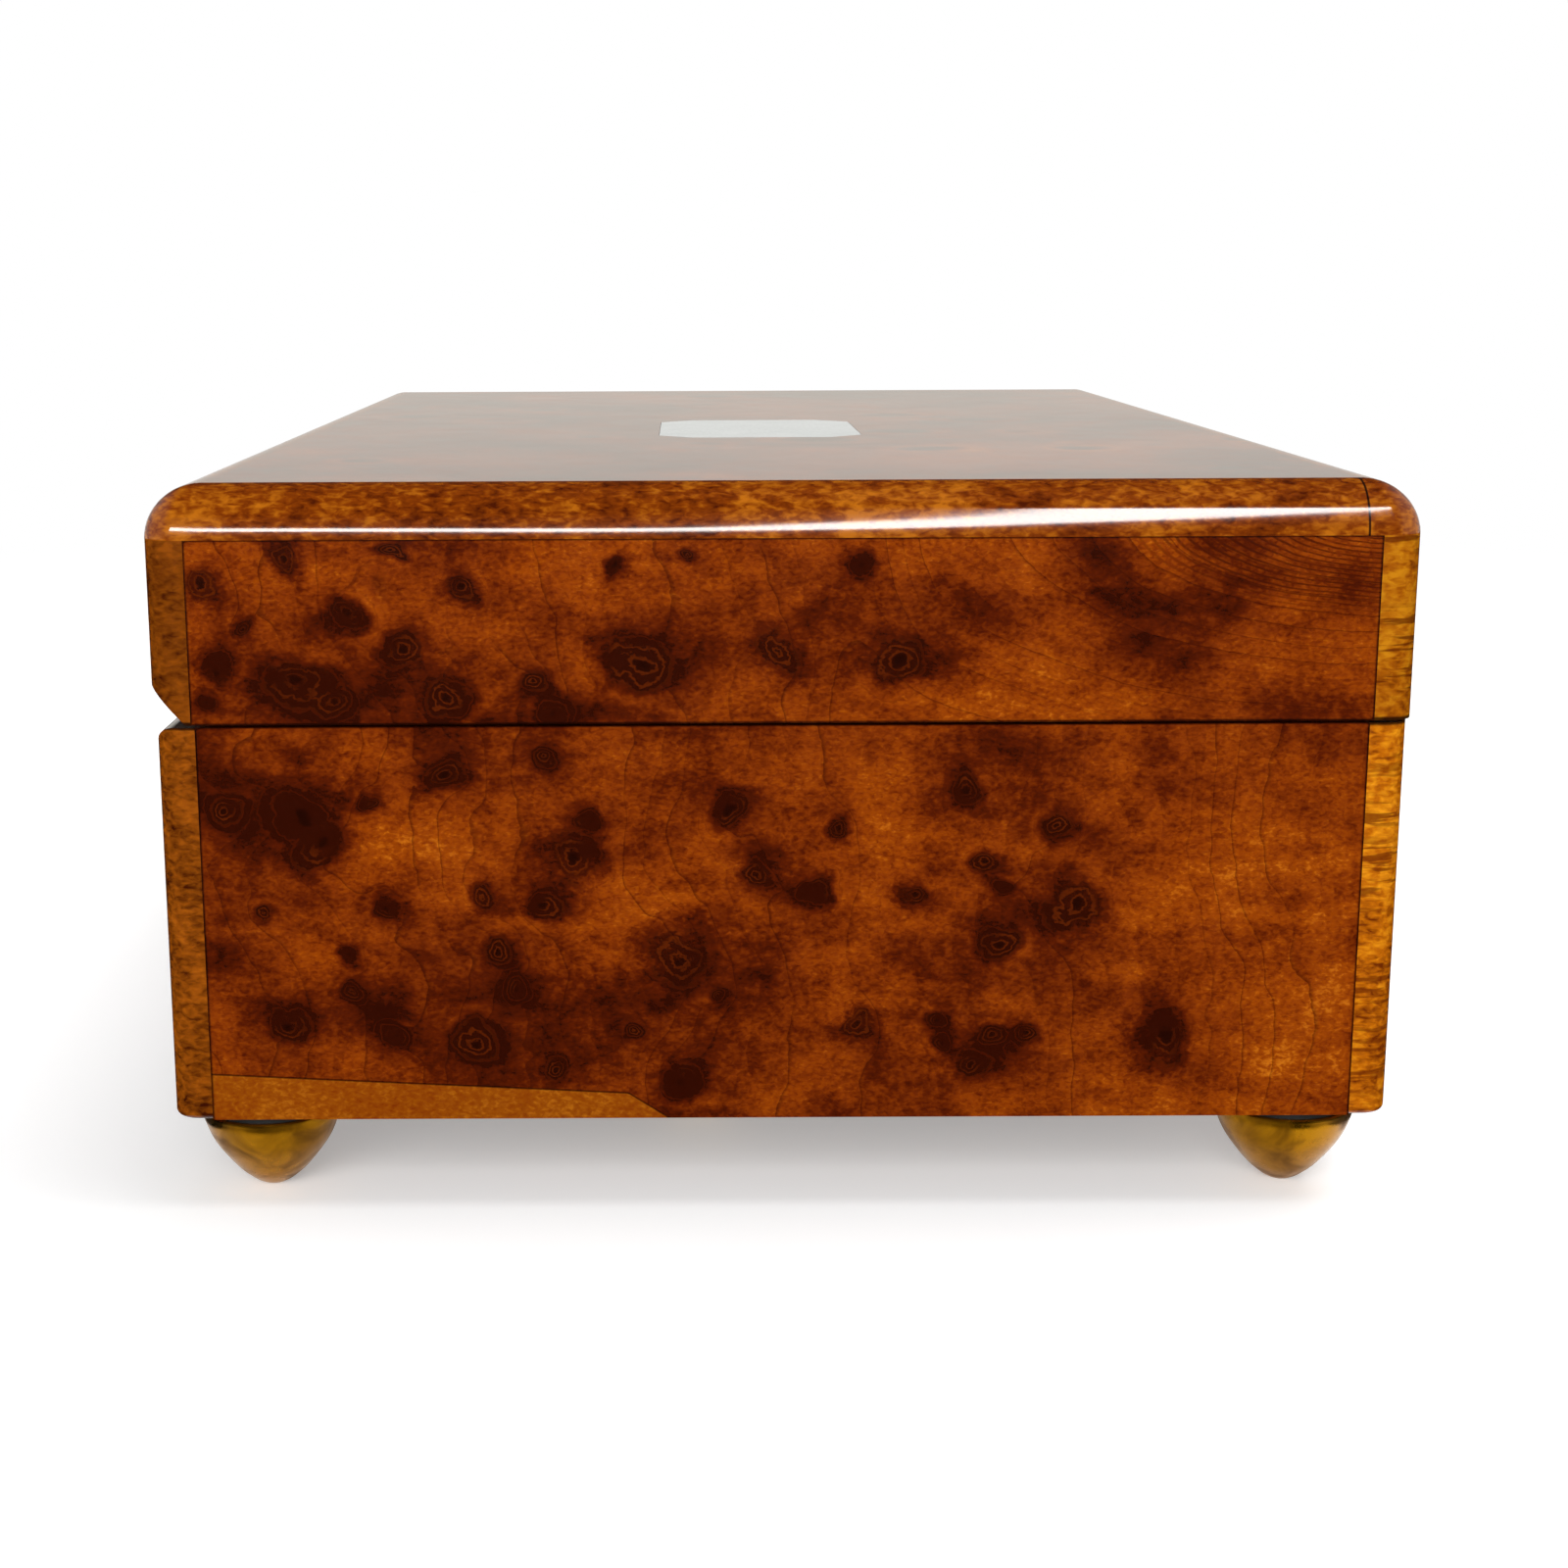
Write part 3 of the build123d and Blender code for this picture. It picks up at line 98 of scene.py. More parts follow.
class Graph:
    """One material's node tree."""

    def __init__(self, name: str) -> None:
        """Start a material with a Principled shader.

        Args:
            name: The material's name.
        """
        self.material = bpy.data.materials.new(name)
        self.material.use_nodes = True
        self.tree = self.material.node_tree
        self.shader = self.tree.nodes["Principled BSDF"]
        self.output = self.tree.nodes["Material Output"]

    def link(self, value: object, socket: bpy.types.NodeSocket) -> None:
        """Put a Term, a socket or a constant into a socket.

        Args:
            value: What goes in; three numbers are a colour where the socket takes one.
            socket: The input.
        """
        if isinstance(value, Term):
            value = value.socket
        if isinstance(value, bpy.types.NodeSocket):
            self.tree.links.new(value, socket)
        elif isinstance(value, (tuple, list)) and len(value) == 3 and socket.type == "RGBA":
            socket.default_value = (*value, 1.0)
        else:
            socket.default_value = value

    def node(self, kind: str, settings: dict, inputs: dict) -> bpy.types.Node:
        """Add any node.

        Args:
            kind: The node's type.
            settings: Attributes that are set first; "stops" fills a ramp.
            inputs: Values or links for its sockets, by name or index.

        Returns:
            The node.
        """
        made = self.tree.nodes.new(kind)
        for key, value in settings.items():
            if key == "stops":
                ramp = made.color_ramp
                while len(ramp.elements) < len(value):
                    ramp.elements.new(0.5)
                for element, (place, colour) in zip(ramp.elements, value):
                    element.position = place
                    element.color = (*colour, 1.0)
            else:
                setattr(made, key, value)
        for key, value in inputs.items():
            self.link(value, made.inputs[key])
        return made

    def maths(self, operation: str, *values: "Term | float") -> Term:
        """A Math node."""
        made = self.node("ShaderNodeMath", {"operation": operation}, dict(enumerate(values)))
        return Term(self, made.outputs[0])

    def clamp(self, value: Term) -> Term:
        """Limit a value to 0..1."""
        made = self.node("ShaderNodeClamp", {}, {0: value})
        return Term(self, made.outputs[0])

    def step(self, value: Term, low: float, high: float) -> Term:
        """Rise smoothly from 0 at low to 1 at high, or fall if low is above high.

        Args:
            value: The value that is mapped.
            low: Where the result is 0.
            high: Where the result is 1.

        Returns:
            The mapped value.
        """
        first, last = (0.0, 1.0) if low < high else (1.0, 0.0)
        made = self.node(
            "ShaderNodeMapRange",
            {"interpolation_type": "SMOOTHSTEP"},
            {0: value, 1: min(low, high), 2: max(low, high), 3: first, 4: last},
        )
        return Term(self, made.outputs[0])

    def field(self, name: str) -> Term:
        """A number attribute of the mesh."""
        made = self.node("ShaderNodeAttribute", {"attribute_name": name}, {})
        return Term(self, made.outputs["Fac"])

    def place(self, scale: TRIPLE = (1.0, 1.0, 1.0), turn: TRIPLE = (0.0, 0.0, 0.0)) -> bpy.types.NodeSocket:
        """Object coordinates, scaled and turned.

        Args:
            scale: Factors for the three axes.
            turn: Angles about them, in radians.

        Returns:
            The vector socket.
        """
        coords = self.node("ShaderNodeTexCoord", {}, {})
        mapping = self.node(
            "ShaderNodeMapping",
            {},
            {"Vector": coords.outputs["Object"], "Scale": scale, "Rotation": turn},
        )
        return mapping.outputs["Vector"]

    def axis(self, which: int) -> Term:
        """One Object coordinate, in metres.

        Args:
            which: 0, 1 or 2 for x, y or z.

        Returns:
            The coordinate.
        """
        coords = self.node("ShaderNodeTexCoord", {}, {})
        parts = self.node("ShaderNodeSeparateXYZ", {}, {0: coords.outputs["Object"]})
        return Term(self, parts.outputs[which])

    def noise(
        self, vector: bpy.types.NodeSocket, scale: float, detail: float = 3.0, warp: float = 0.0
    ) -> Term:
        """Fractal noise, about 0..1.

        Args:
            vector: Where it is taken.
            scale: Waves in a metre, roughly.
            detail: Octaves.
            warp: How far it distorts itself.

        Returns:
            The noise.
        """
        made = self.node(
            "ShaderNodeTexNoise", {}, {"Vector": vector, "Scale": scale, "Detail": detail, "Distortion": warp}
        )
        return Term(self, made.outputs["Fac"])

    def mix(self, factor: "Term | float", first: object, second: object) -> bpy.types.NodeSocket:
        """Mix two colours.

        Args:
            factor: 0 for the first, 1 for the second.
            first: A colour or its socket.
            second: A colour or its socket.

        Returns:
            The mixed colour's socket.
        """
        made = self.tree.nodes.new("ShaderNodeMix")
        made.data_type = "RGBA"
        made.clamp_result = False
        self.link(factor, made.inputs[0])
        self.link(first, made.inputs[6])
        self.link(second, made.inputs[7])
        return made.outputs[2]

    def ramp(self, value: Term, stops: list[tuple[float, COLOUR]]) -> bpy.types.NodeSocket:
        """Colours along a value."""
        return self.node("ShaderNodeValToRGB", {"stops": stops}, {0: value}).outputs[0]

    def bump(self, height: Term, depth: float, strength: float = 1.0) -> bpy.types.NodeSocket:
        """A bumped normal.

        Args:
            height: The relief, 0..1.
            depth: Its full height in metres.
            strength: How much of it shows.

        Returns:
            The normal's socket.
        """
        made = self.node("ShaderNodeBump", {}, {"Height": height, "Distance": depth, "Strength": strength})
        return made.outputs[0]

    def set(self, **values: object) -> None:
        """Set or link sockets of the Principled shader, written with underscores."""
        for key, value in values.items():
            self.link(value, self.shader.inputs[key.replace("_", " ")])


# Finishes


class Pattern(Enum):
    """Where a burl finish takes its figure from."""

    DRAWN = "fields worked out on the panel"
    SOLID = "cells in the solid wood"


@dataclass(frozen=True)
class Lacquer:
    """Clear gloss over wood."""

    roughness: float = 0.07
    specular: float = 0.42

    def coat(self, graph: Graph, haze: Term) -> None:
        """Give the shader its gloss.

        Args:
            graph: The material.
            haze: Noise that dulls the gloss here and there.
        """
        graph.set(Roughness=haze * 0.05 + self.roughness, Specular_IOR_Level=self.specular)
        graph.shader.inputs["IOR"].default_value = 1.5


@dataclass(frozen=True)
class BurlVeneer:
    """Glossy burl: dark eyes with rings, thin growth lines, golden flecks."""

    black: COLOUR = (0.007, 0.0012, 0.0004)
    dark: COLOUR = (0.024, 0.0026, 0.0004)
    deep: COLOUR = (0.075, 0.0078, 0.0005)
    body: COLOUR = (0.165, 0.024, 0.0008)
    warm: COLOUR = (0.245, 0.043, 0.0009)
    gold: COLOUR = (0.44, 0.12, 0.005)
    lacquer: Lacquer = Lacquer()

    def make(self, name: str, pattern: Pattern) -> bpy.types.Material:
        """Build the material.

        Args:
            name: Its name.
            pattern: Where the figure comes from.

        Returns:
            The material.
        """
        g = Graph(name)
        plain = g.place()
        fine = g.noise(g.place((1.0, 0.6, 1.0)), 2700.0, 5.0, 0.5)
        small = g.noise(plain, 480.0, 3.0, 0.5)
        cloud = g.noise(plain, 150.0, 3.0, 0.7)
        drawn = pattern is Pattern.DRAWN
        if drawn:
            tone, eye, grain, glow = (g.field(n) for n in ("tone", "eye", "grain", "glow"))
        else:
            tone, eye, grain, glow = self.solid(g, plain, cloud)
        near = eye + (small - 0.5) * 0.75 + (fine - 0.5) * 0.4
        halo = g.step(near, 2.0, 0.9)
        core = g.step(near, 1.2, 0.8)
        ring = g.maths("SINE", near * 17.0 + cloud * 3.0)
        light_ring = g.step(ring, 0.2, 1.0) * g.step(near, 1.3, 0.8) * g.step(near, 0.1, 0.4)
        light_ring = light_ring * g.step(cloud, 0.4, 0.6)
        wide_ring = g.maths("SINE", near * 11.0 + 1.0)
        dark_ring = g.step(wide_ring, 0.7, 1.0) * g.step(near, 2.6, 1.4) * g.step(near, 1.0, 1.2)
        pupil = g.step(near, 0.34, 0.12)
        phase = grain + (small - 0.5) * 0.22
        part = g.maths("FRACT", phase)
        whole = g.maths("FLOOR", phase)
        draw = g.node("ShaderNodeTexWhiteNoise", {"noise_dimensions": "1D"}, {"W": whole})
        chosen = g.step(Term(g, draw.outputs["Value"]), 0.35, 0.6)
        broken = g.step(g.noise(plain, 75.0, 2.0), 0.36, 0.52)
        line = g.step(part, 0.11, 0.0) * chosen * broken
        level = tone + (cloud - 0.5) * 0.42 + (small - 0.5) * 0.34 + (fine - 0.5) * (tone * 1.0 + 0.2)
        level = level + (part - 0.5) * 0.06 - halo * 0.14 + glow * 0.34 - 0.14
        colour = g.ramp(
            g.clamp(level),
            [(0.04, self.dark), (0.26, self.deep), (0.5, self.body), (0.74, self.warm), (1.0, self.gold)],
        )
        hair = g.noise(g.place((1.0, 0.45, 1.4), (0.6, 0.0, 0.0)), 3600.0, 2.0, 0.8)
        colour = g.mix(g.step(hair, 0.56, 0.74) * g.step(level, 0.42, 0.7) * 0.4, colour, self.gold)
        colour = g.mix(core * 0.72, colour, self.dark)
        colour = g.mix(light_ring * 0.34, colour, self.body)
        colour = g.mix(dark_ring * 0.4, colour, self.deep)
        colour = g.mix(line * 0.5, colour, self.dark)
        colour = g.mix(pupil * 0.7, colour, self.black)
        if drawn:
            fibre = g.maths("SINE", g.field("comb") * 6.2832 + small * 2.6)
            streak = g.step(fibre, 0.1, 0.95) * g.field("comb_amount") * g.step(fine, 0.3, 0.55)
            colour = g.mix(streak * 0.72, colour, self.dark)
            graft = g.field("graft")
            plank = g.ramp(
                g.clamp((fine - 0.5) * 1.3 + cloud * 0.6 + 0.15),
                [(0.1, self.body), (0.5, (0.23, 0.053, 0.0014)), (1.0, (0.42, 0.135, 0.006))],
            )
            colour = g.mix(g.step(graft, -0.02, 0.02), colour, plank)
            colour = g.mix(g.step(g.maths("ABSOLUTE", graft), 0.14, 0.05) * 0.75, colour, self.black)
            # Near black along the panel's edges: dark joint lines at its ends and under the lipping, and
            # painted shade along the seam between lid and case.
            colour = g.mix(g.step(g.field("edge"), 0.3, 0.08) * 0.85, colour, self.black)
        g.set(Base_Color=colour)
        self.lacquer.coat(g, cloud)
        return g.material

    def solid(self, g: Graph, plain: bpy.types.NodeSocket, cloud: Term) -> tuple[Term, Term, Term, Term]:
        """The same figure from cells and noise in the solid, for the walls whose face isn't drawn.

        Args:
            g: The material.
            plain: Object coordinates.
            cloud: Slow noise.

        Returns:
            Tone, distance from an eye, growth line phase and glow.
        """
        warp = g.node("ShaderNodeTexNoise", {}, {"Vector": plain, "Scale": 90.0, "Detail": 2.0})
        pull = g.node(
            "ShaderNodeVectorMath", {"operation": "SCALE"}, {0: warp.outputs["Color"], "Scale": 0.006}
        )
        bent = g.node("ShaderNodeVectorMath", {"operation": "ADD"}, {0: plain, 1: pull.outputs[0]})
        cells = g.node(
            "ShaderNodeTexVoronoi",
            {"feature": "F1", "distance": "EUCLIDEAN"},
            {"Vector": bent.outputs[0], "Scale": 78.0, "Randomness": 1.0},
        )
        kind = g.node("ShaderNodeSeparateXYZ", {}, {0: cells.outputs["Color"]})
        size = Term(g, kind.outputs[0])
        eye = Term(g, cells.outputs["Distance"]) / (size * 0.2 + 0.08)
        eye = eye + g.step(Term(g, kind.outputs[1]), 0.5, 0.45) * 6.0
        grain = g.axis(0) * 190.0 + cloud * 5.0 + g.axis(2) * 60.0 + g.noise(plain, 40.0, 2.0) * 5.0
        glow = g.step(eye, 1.1, 1.5) * g.step(eye, 2.6, 1.7) * 0.6
        tone = g.noise(plain, 34.0, 2.0, 0.5) * 1.1 - 0.02
        return tone, eye, grain, glow


# Height of the gap between lid and case, and how far the painted shade drawn along it reaches.
SEAM_HEIGHT = 0.0489
SEAM_SHADE_REACH = (0.00055, 0.0003)
LID_FROM = (0.0487, 0.049)
BACK_FROM = (-0.001, 0.001)
LIP_ENDS = (0.0868, 0.0870)
JOINT_REACH = (0.00016, 0.00007)


@dataclass(frozen=True)
class StripWood:
    """Strips and lippings: mottled, flecked and lacquered, and darker at the back where that is set."""

    shadow: COLOUR
    body: COLOUR
    light: COLOUR
    back_shadow: COLOUR | None = None
    back_light: COLOUR | None = None
    dash: float = 0.0
    joint: float = 0.0
    lacquer: Lacquer = Lacquer()

    def make(self, name: str) -> bpy.types.Material:
        """Build the material: flecks, clouds, cross dashes, dark lines at the joints, and a line of painted
        shade along the lid's seam.

        Args:
            name: Its name.

        Returns:
            The material.
        """
        g = Graph(name)
        plain = g.place()
        fleck = g.noise(g.place((0.8, 0.45, 1.0), (0.5, 0.0, 0.0)), 1900.0, 4.0, 0.5)
        middle = g.noise(plain, 380.0, 3.0, 0.6)
        cloud = g.noise(plain, 70.0, 3.0, 0.5)
        level = g.clamp((fleck - 0.5) * 1.4 + (middle - 0.5) * 0.9 + (cloud - 0.5) * 1.1 + 0.5)
        colour = g.ramp(level, [(0.1, self.shadow), (0.5, self.body), (0.92, self.light)])
        across = g.noise(g.place((0.25, 0.25, 2.6)), 620.0, 3.0)
        bands = g.step(g.noise(g.place((0.1, 0.1, 1.0)), 170.0, 1.0), 0.44, 0.58)
        colour = g.mix(g.step(across, 0.5, 0.6) * bands * self.dash, colour, self.shadow)
        # The back strips take a darker copy of the colours, and the lid part of every strip leans toward the
        # darkest of them.
        if self.back_shadow:
            dark = g.ramp(level, [(0.15, self.back_shadow), (0.95, self.back_light)])
            colour = g.mix(g.step(g.axis(1), *BACK_FROM), colour, dark)
            colour = g.mix(g.step(g.axis(2), *LID_FROM) * 0.35, colour, self.back_shadow)
        if self.joint:
            off = g.maths("ABSOLUTE", g.axis(1) + self.joint)
            ends = g.step(g.maths("ABSOLUTE", g.axis(0)), *LIP_ENDS)
            colour = g.mix(g.step(off, *JOINT_REACH) * ends * 0.92, colour, (0.006, 0.002, 0.001))
        # Painted shade: a near black line along the gap between the lid and the case.
        seam = g.step(g.maths("ABSOLUTE", g.axis(2) - SEAM_HEIGHT), *SEAM_SHADE_REACH)
        g.set(Base_Color=g.mix(seam * 0.9, colour, (0.005, 0.0015, 0.0006)))
        self.lacquer.coat(g, cloud)
        return g.material


@dataclass(frozen=True)
class Metal:
    """Polished or aged metal with fine brushing and dull patches."""

    bright: COLOUR
    aged: COLOUR
    roughness: float
    age: float = 0.4
    brush: TRIPLE = (1.0, 1.0, 1.0)

    def make(self, name: str) -> bpy.types.Material:
        """Build the material from patches of tarnish and brushed noise.

        Args:
            name: Its name.

        Returns:
            The material.
        """
        g = Graph(name)
        plain = g.place()
        patch = g.noise(plain, 240.0, 4.0, 0.7)
        brushed = g.noise(g.place(self.brush), 1600.0, 2.0)
        tarnish = g.step(patch, 0.62 - self.age * 0.3, 0.72) * self.age
        g.set(
            Base_Color=g.mix(tarnish + (brushed - 0.5) * 0.15, self.bright, self.aged),
            Metallic=1.0,
            Roughness=g.clamp(patch * 0.16 + tarnish * 0.25 + self.roughness),
            Normal=g.bump(brushed, 0.000008, 0.35),
        )
        return g.material


@dataclass(frozen=True)
class Velvet:
    """Short pile cloth with a soft sheen."""

    pile: COLOUR = (0.11, 0.006, 0.014)
    tip: COLOUR = (0.34, 0.04, 0.06)

    def make(self, name: str) -> bpy.types.Material:
        """Build the material: pile noise, crushed patches and sheen.

        Args:
            name: Its name.

        Returns:
            The material.
        """
        g = Graph(name)
        plain = g.place()
        pile = g.noise(plain, 4200.0, 2.0)
        crush = g.noise(plain, 70.0, 3.0, 1.2)
        g.set(
            Base_Color=g.mix(g.clamp((crush - 0.35) * 0.8 + (pile - 0.5) * 0.7), self.pile, self.tip),
            Roughness=g.clamp(pile * 0.2 + 0.78),
            Normal=g.bump(pile, 0.00012, 0.6),
        )
        g.shader.inputs["Sheen Weight"].default_value = 0.7
        g.shader.inputs["Sheen Roughness"].default_value = 0.4
        g.shader.inputs["Sheen Tint"].default_value = (0.9, 0.3, 0.35, 1.0)
        g.shader.inputs["Specular IOR Level"].default_value = 0.1
        return g.material


@dataclass(frozen=True)
class PlainSurface:
    """Anything matt or polished without a grain: washer, casting, inlay, plain wood."""

    first: COLOUR
    second: COLOUR
    roughness: float
    scale: float = 300.0
    stretch: TRIPLE = (1.0, 1.0, 1.0)
    specular: float = 0.4
    relief: float = 0.00003

    def make(self, name: str) -> bpy.types.Material:
        """Build the material from two colours and two noises.

        Args:
            name: Its name.

        Returns:
            The material.
        """
        g = Graph(name)
        wide = g.noise(g.place(self.stretch), self.scale, 4.0, 0.5)
        fine = g.noise(g.place(), 2400.0, 2.0)
        g.set(
            Base_Color=g.mix(g.clamp(wide * 1.3 + (fine - 0.5) * 0.4 - 0.15), self.first, self.second),
            Roughness=g.clamp(fine * 0.15 + self.roughness),
            Specular_IOR_Level=self.specular,
            Normal=g.bump(fine, self.relief, 0.5),
        )
        return g.material


@dataclass(frozen=True)
class Glass:
    """Clear plate glass."""

    tint: COLOUR = (0.93, 0.98, 0.95)

    def make(self, name: str) -> bpy.types.Material:
        """Build the material, clear with a trace of dust.

        Args:
            name: Its name.

        Returns:
            The material.
        """
        g = Graph(name)
        dust = g.step(g.noise(g.place(), 900.0, 4.0), 0.5, 0.9)
        g.set(Base_Color=self.tint, Roughness=dust * 0.05 + 0.01)
        g.shader.inputs["Transmission Weight"].default_value = 1.0
        g.shader.inputs["IOR"].default_value = 1.45
        return g.material


# Mesh helpers


def lattice_noise(across: np.ndarray, along: np.ndarray, cell: float, seed: int) -> np.ndarray:
    """Value noise: random numbers on a square lattice, eased between with 3u^2 - 2u^3.

    Args:
        across: First coordinates.
        along: Second coordinates.
        cell: Lattice spacing in the same unit.
        seed: Seed of the numbers.

    Returns:
        Values in -1..1.
    """
    table = np.random.default_rng(seed).uniform(-1.0, 1.0, (256, 256))
    u, v = across / cell + 64.0, along / cell + 64.0
    iu, iv = np.floor(u).astype(int), np.floor(v).astype(int)
    fu, fv = u - iu, v - iv
    fu, fv = fu * fu * (3.0 - 2.0 * fu), fv * fv * (3.0 - 2.0 * fv)
    a, b = table[iu % 256, iv % 256], table[(iu + 1) % 256, iv % 256]
    c, d = table[iu % 256, (iv + 1) % 256], table[(iu + 1) % 256, (iv + 1) % 256]
    return (a * (1 - fu) + b * fu) * (1 - fv) + (c * (1 - fu) + d * fu) * fv


def make_piece(
    name: str,
    points: np.ndarray,
    faces: list,
    material: bpy.types.Material,
    body: str,
    smooth: bool = True,
) -> bpy.types.Object:
    """Put a mesh in the scene on its body.

    Args:
        name: The piece's name.
        points: Corners, n by 3, in metres.
        faces: Lists of corner numbers.
        material: Its finish.
        body: The body that it rides on.
        smooth: Whether faces are shaded smooth.

    Returns:
        The object.
    """
    mesh = bpy.data.meshes.new(name)
    mesh.from_pydata(np.asarray(points, float).tolist(), [], faces)
    mesh.validate()
    mesh.update()
    mesh.polygons.foreach_set("use_smooth", np.full(len(mesh.polygons), smooth))
    mesh.materials.append(material)
    piece = bpy.data.objects.new(name, mesh)
    bpy.context.scene.collection.objects.link(piece)
    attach(piece, body)
    return piece


def grid_faces(rows: int, columns: int, wrap: bool = False, start: int = 0) -> np.ndarray:
    """Quads between neighbouring points of a grid, numbered row by row.

    Args:
        rows: Number of rows.
        columns: Points in a row.
        wrap: Whether the last column joins the first.
        start: Number of the first point.

    Returns:
        Corner numbers, n by 4.
    """
    r, c = np.meshgrid(np.arange(rows - 1), np.arange(columns if wrap else columns - 1), indexing="ij")
    n = (c + 1) % columns
    quads = np.stack([r * columns + c, r * columns + n, (r + 1) * columns + n, (r + 1) * columns + c], -1)
    return quads.reshape(-1, 4) + start


def sheet_faces(rows: int, columns: int, start: int = 0) -> np.ndarray:
    """Faces of a closed sheet: a grid of points, then the same grid behind it, and a wall round the rim.

    Args:
        rows: Rows of each grid.
        columns: Points in a row.
        start: Number of the first point.

    Returns:
        Corner numbers, n by 4.
    """
    behind = rows * columns
    last_row, last_column = (rows - 1) * columns, columns - 1
    rim = np.concatenate(
        [
            np.arange(rows) * columns,
            last_row + np.arange(1, columns),
            (np.arange(rows - 1) * columns + last_column)[::-1],
            np.arange(1, last_column)[::-1],
        ]
    )
    after = np.roll(rim, -1)
    wall = np.stack([rim, after, after + behind, rim + behind], -1) + start
    front, back = grid_faces(rows, columns, start=start), grid_faces(rows, columns, start=start + behind)
    return np.vstack([front, back[:, ::-1], wall])


def recalc(piece: bpy.types.Object) -> None:
    """Turn a closed piece's faces outwards.

    Args:
        piece: A closed mesh.
    """
    work = bmesh.new()
    work.from_mesh(piece.data)
    bmesh.ops.recalc_face_normals(work, faces=work.faces)
    work.to_mesh(piece.data)
    work.free()


def turned(profile: np.ndarray, centre: TRIPLE, sides: int) -> tuple[np.ndarray, list]:
    """A closed solid of revolution about a vertical line: (r cos t, r sin t, z) for each profile point.

    Args:
        profile: Radius and height from the lower pole to the upper one, in metres; both ends off the axis.
        centre: The foot of the axis.
        sides: Points round a circle.

    Returns:
        Points and faces, with flat caps at both ends.
    """
    angle = np.linspace(0.0, 2.0 * np.pi, sides, endpoint=False)
    radius, height = profile[:, 0:1], profile[:, 1:2]
    x = centre[0] + radius * np.cos(angle)
    y = centre[1] + radius * np.sin(angle)
    z = centre[2] + height + 0.0 * x
    points = np.stack([x, y, z], -1).reshape(-1, 3)
    faces = grid_faces(len(profile), sides, True).tolist()
    faces.append(list(range(sides))[::-1])
    last = (len(profile) - 1) * sides
    faces.append(list(range(last, last + sides)))
    return points, faces


def smooth_curve(knots: list[tuple[float, float]], count: int) -> np.ndarray:
    """A curve through knots: cubic pieces whose slopes are half the chord between the neighbours.

    Args:
        knots: Points in order.
        count: Points in each span.

    Returns:
        Points on the curve.
    """
    k = np.array(knots, float)
    ends = np.vstack([2 * k[0] - k[1], k, 2 * k[-1] - k[-2]])
    slope = (ends[2:] - ends[:-2]) / 2.0
    t = np.linspace(0.0, 1.0, count, endpoint=False)[:, None]
    spans = []
    for i in range(len(k) - 1):
        a, b, p, q = k[i], k[i + 1], slope[i], slope[i + 1]
        leave, arrive = 2 * t**3 - 3 * t**2 + 1, 3 * t**2 - 2 * t**3
        spans.append(leave * a + (t**3 - 2 * t**2 + t) * p + arrive * b + (t**3 - t**2) * q)
    return np.vstack(spans + [k[-1:]])


# Drawn panels

END_PITCH = 0.32
FRONT_PITCH = 0.42
PLAIN_FIELDS = {
    "eye": 7.0,
    "grain": 0.5,
    "tone": 0.5,
    "glow": 0.0,
    "edge": 1.0,
    "comb": 0.0,
    "comb_amount": 0.0,
    "graft": -1.0,
}


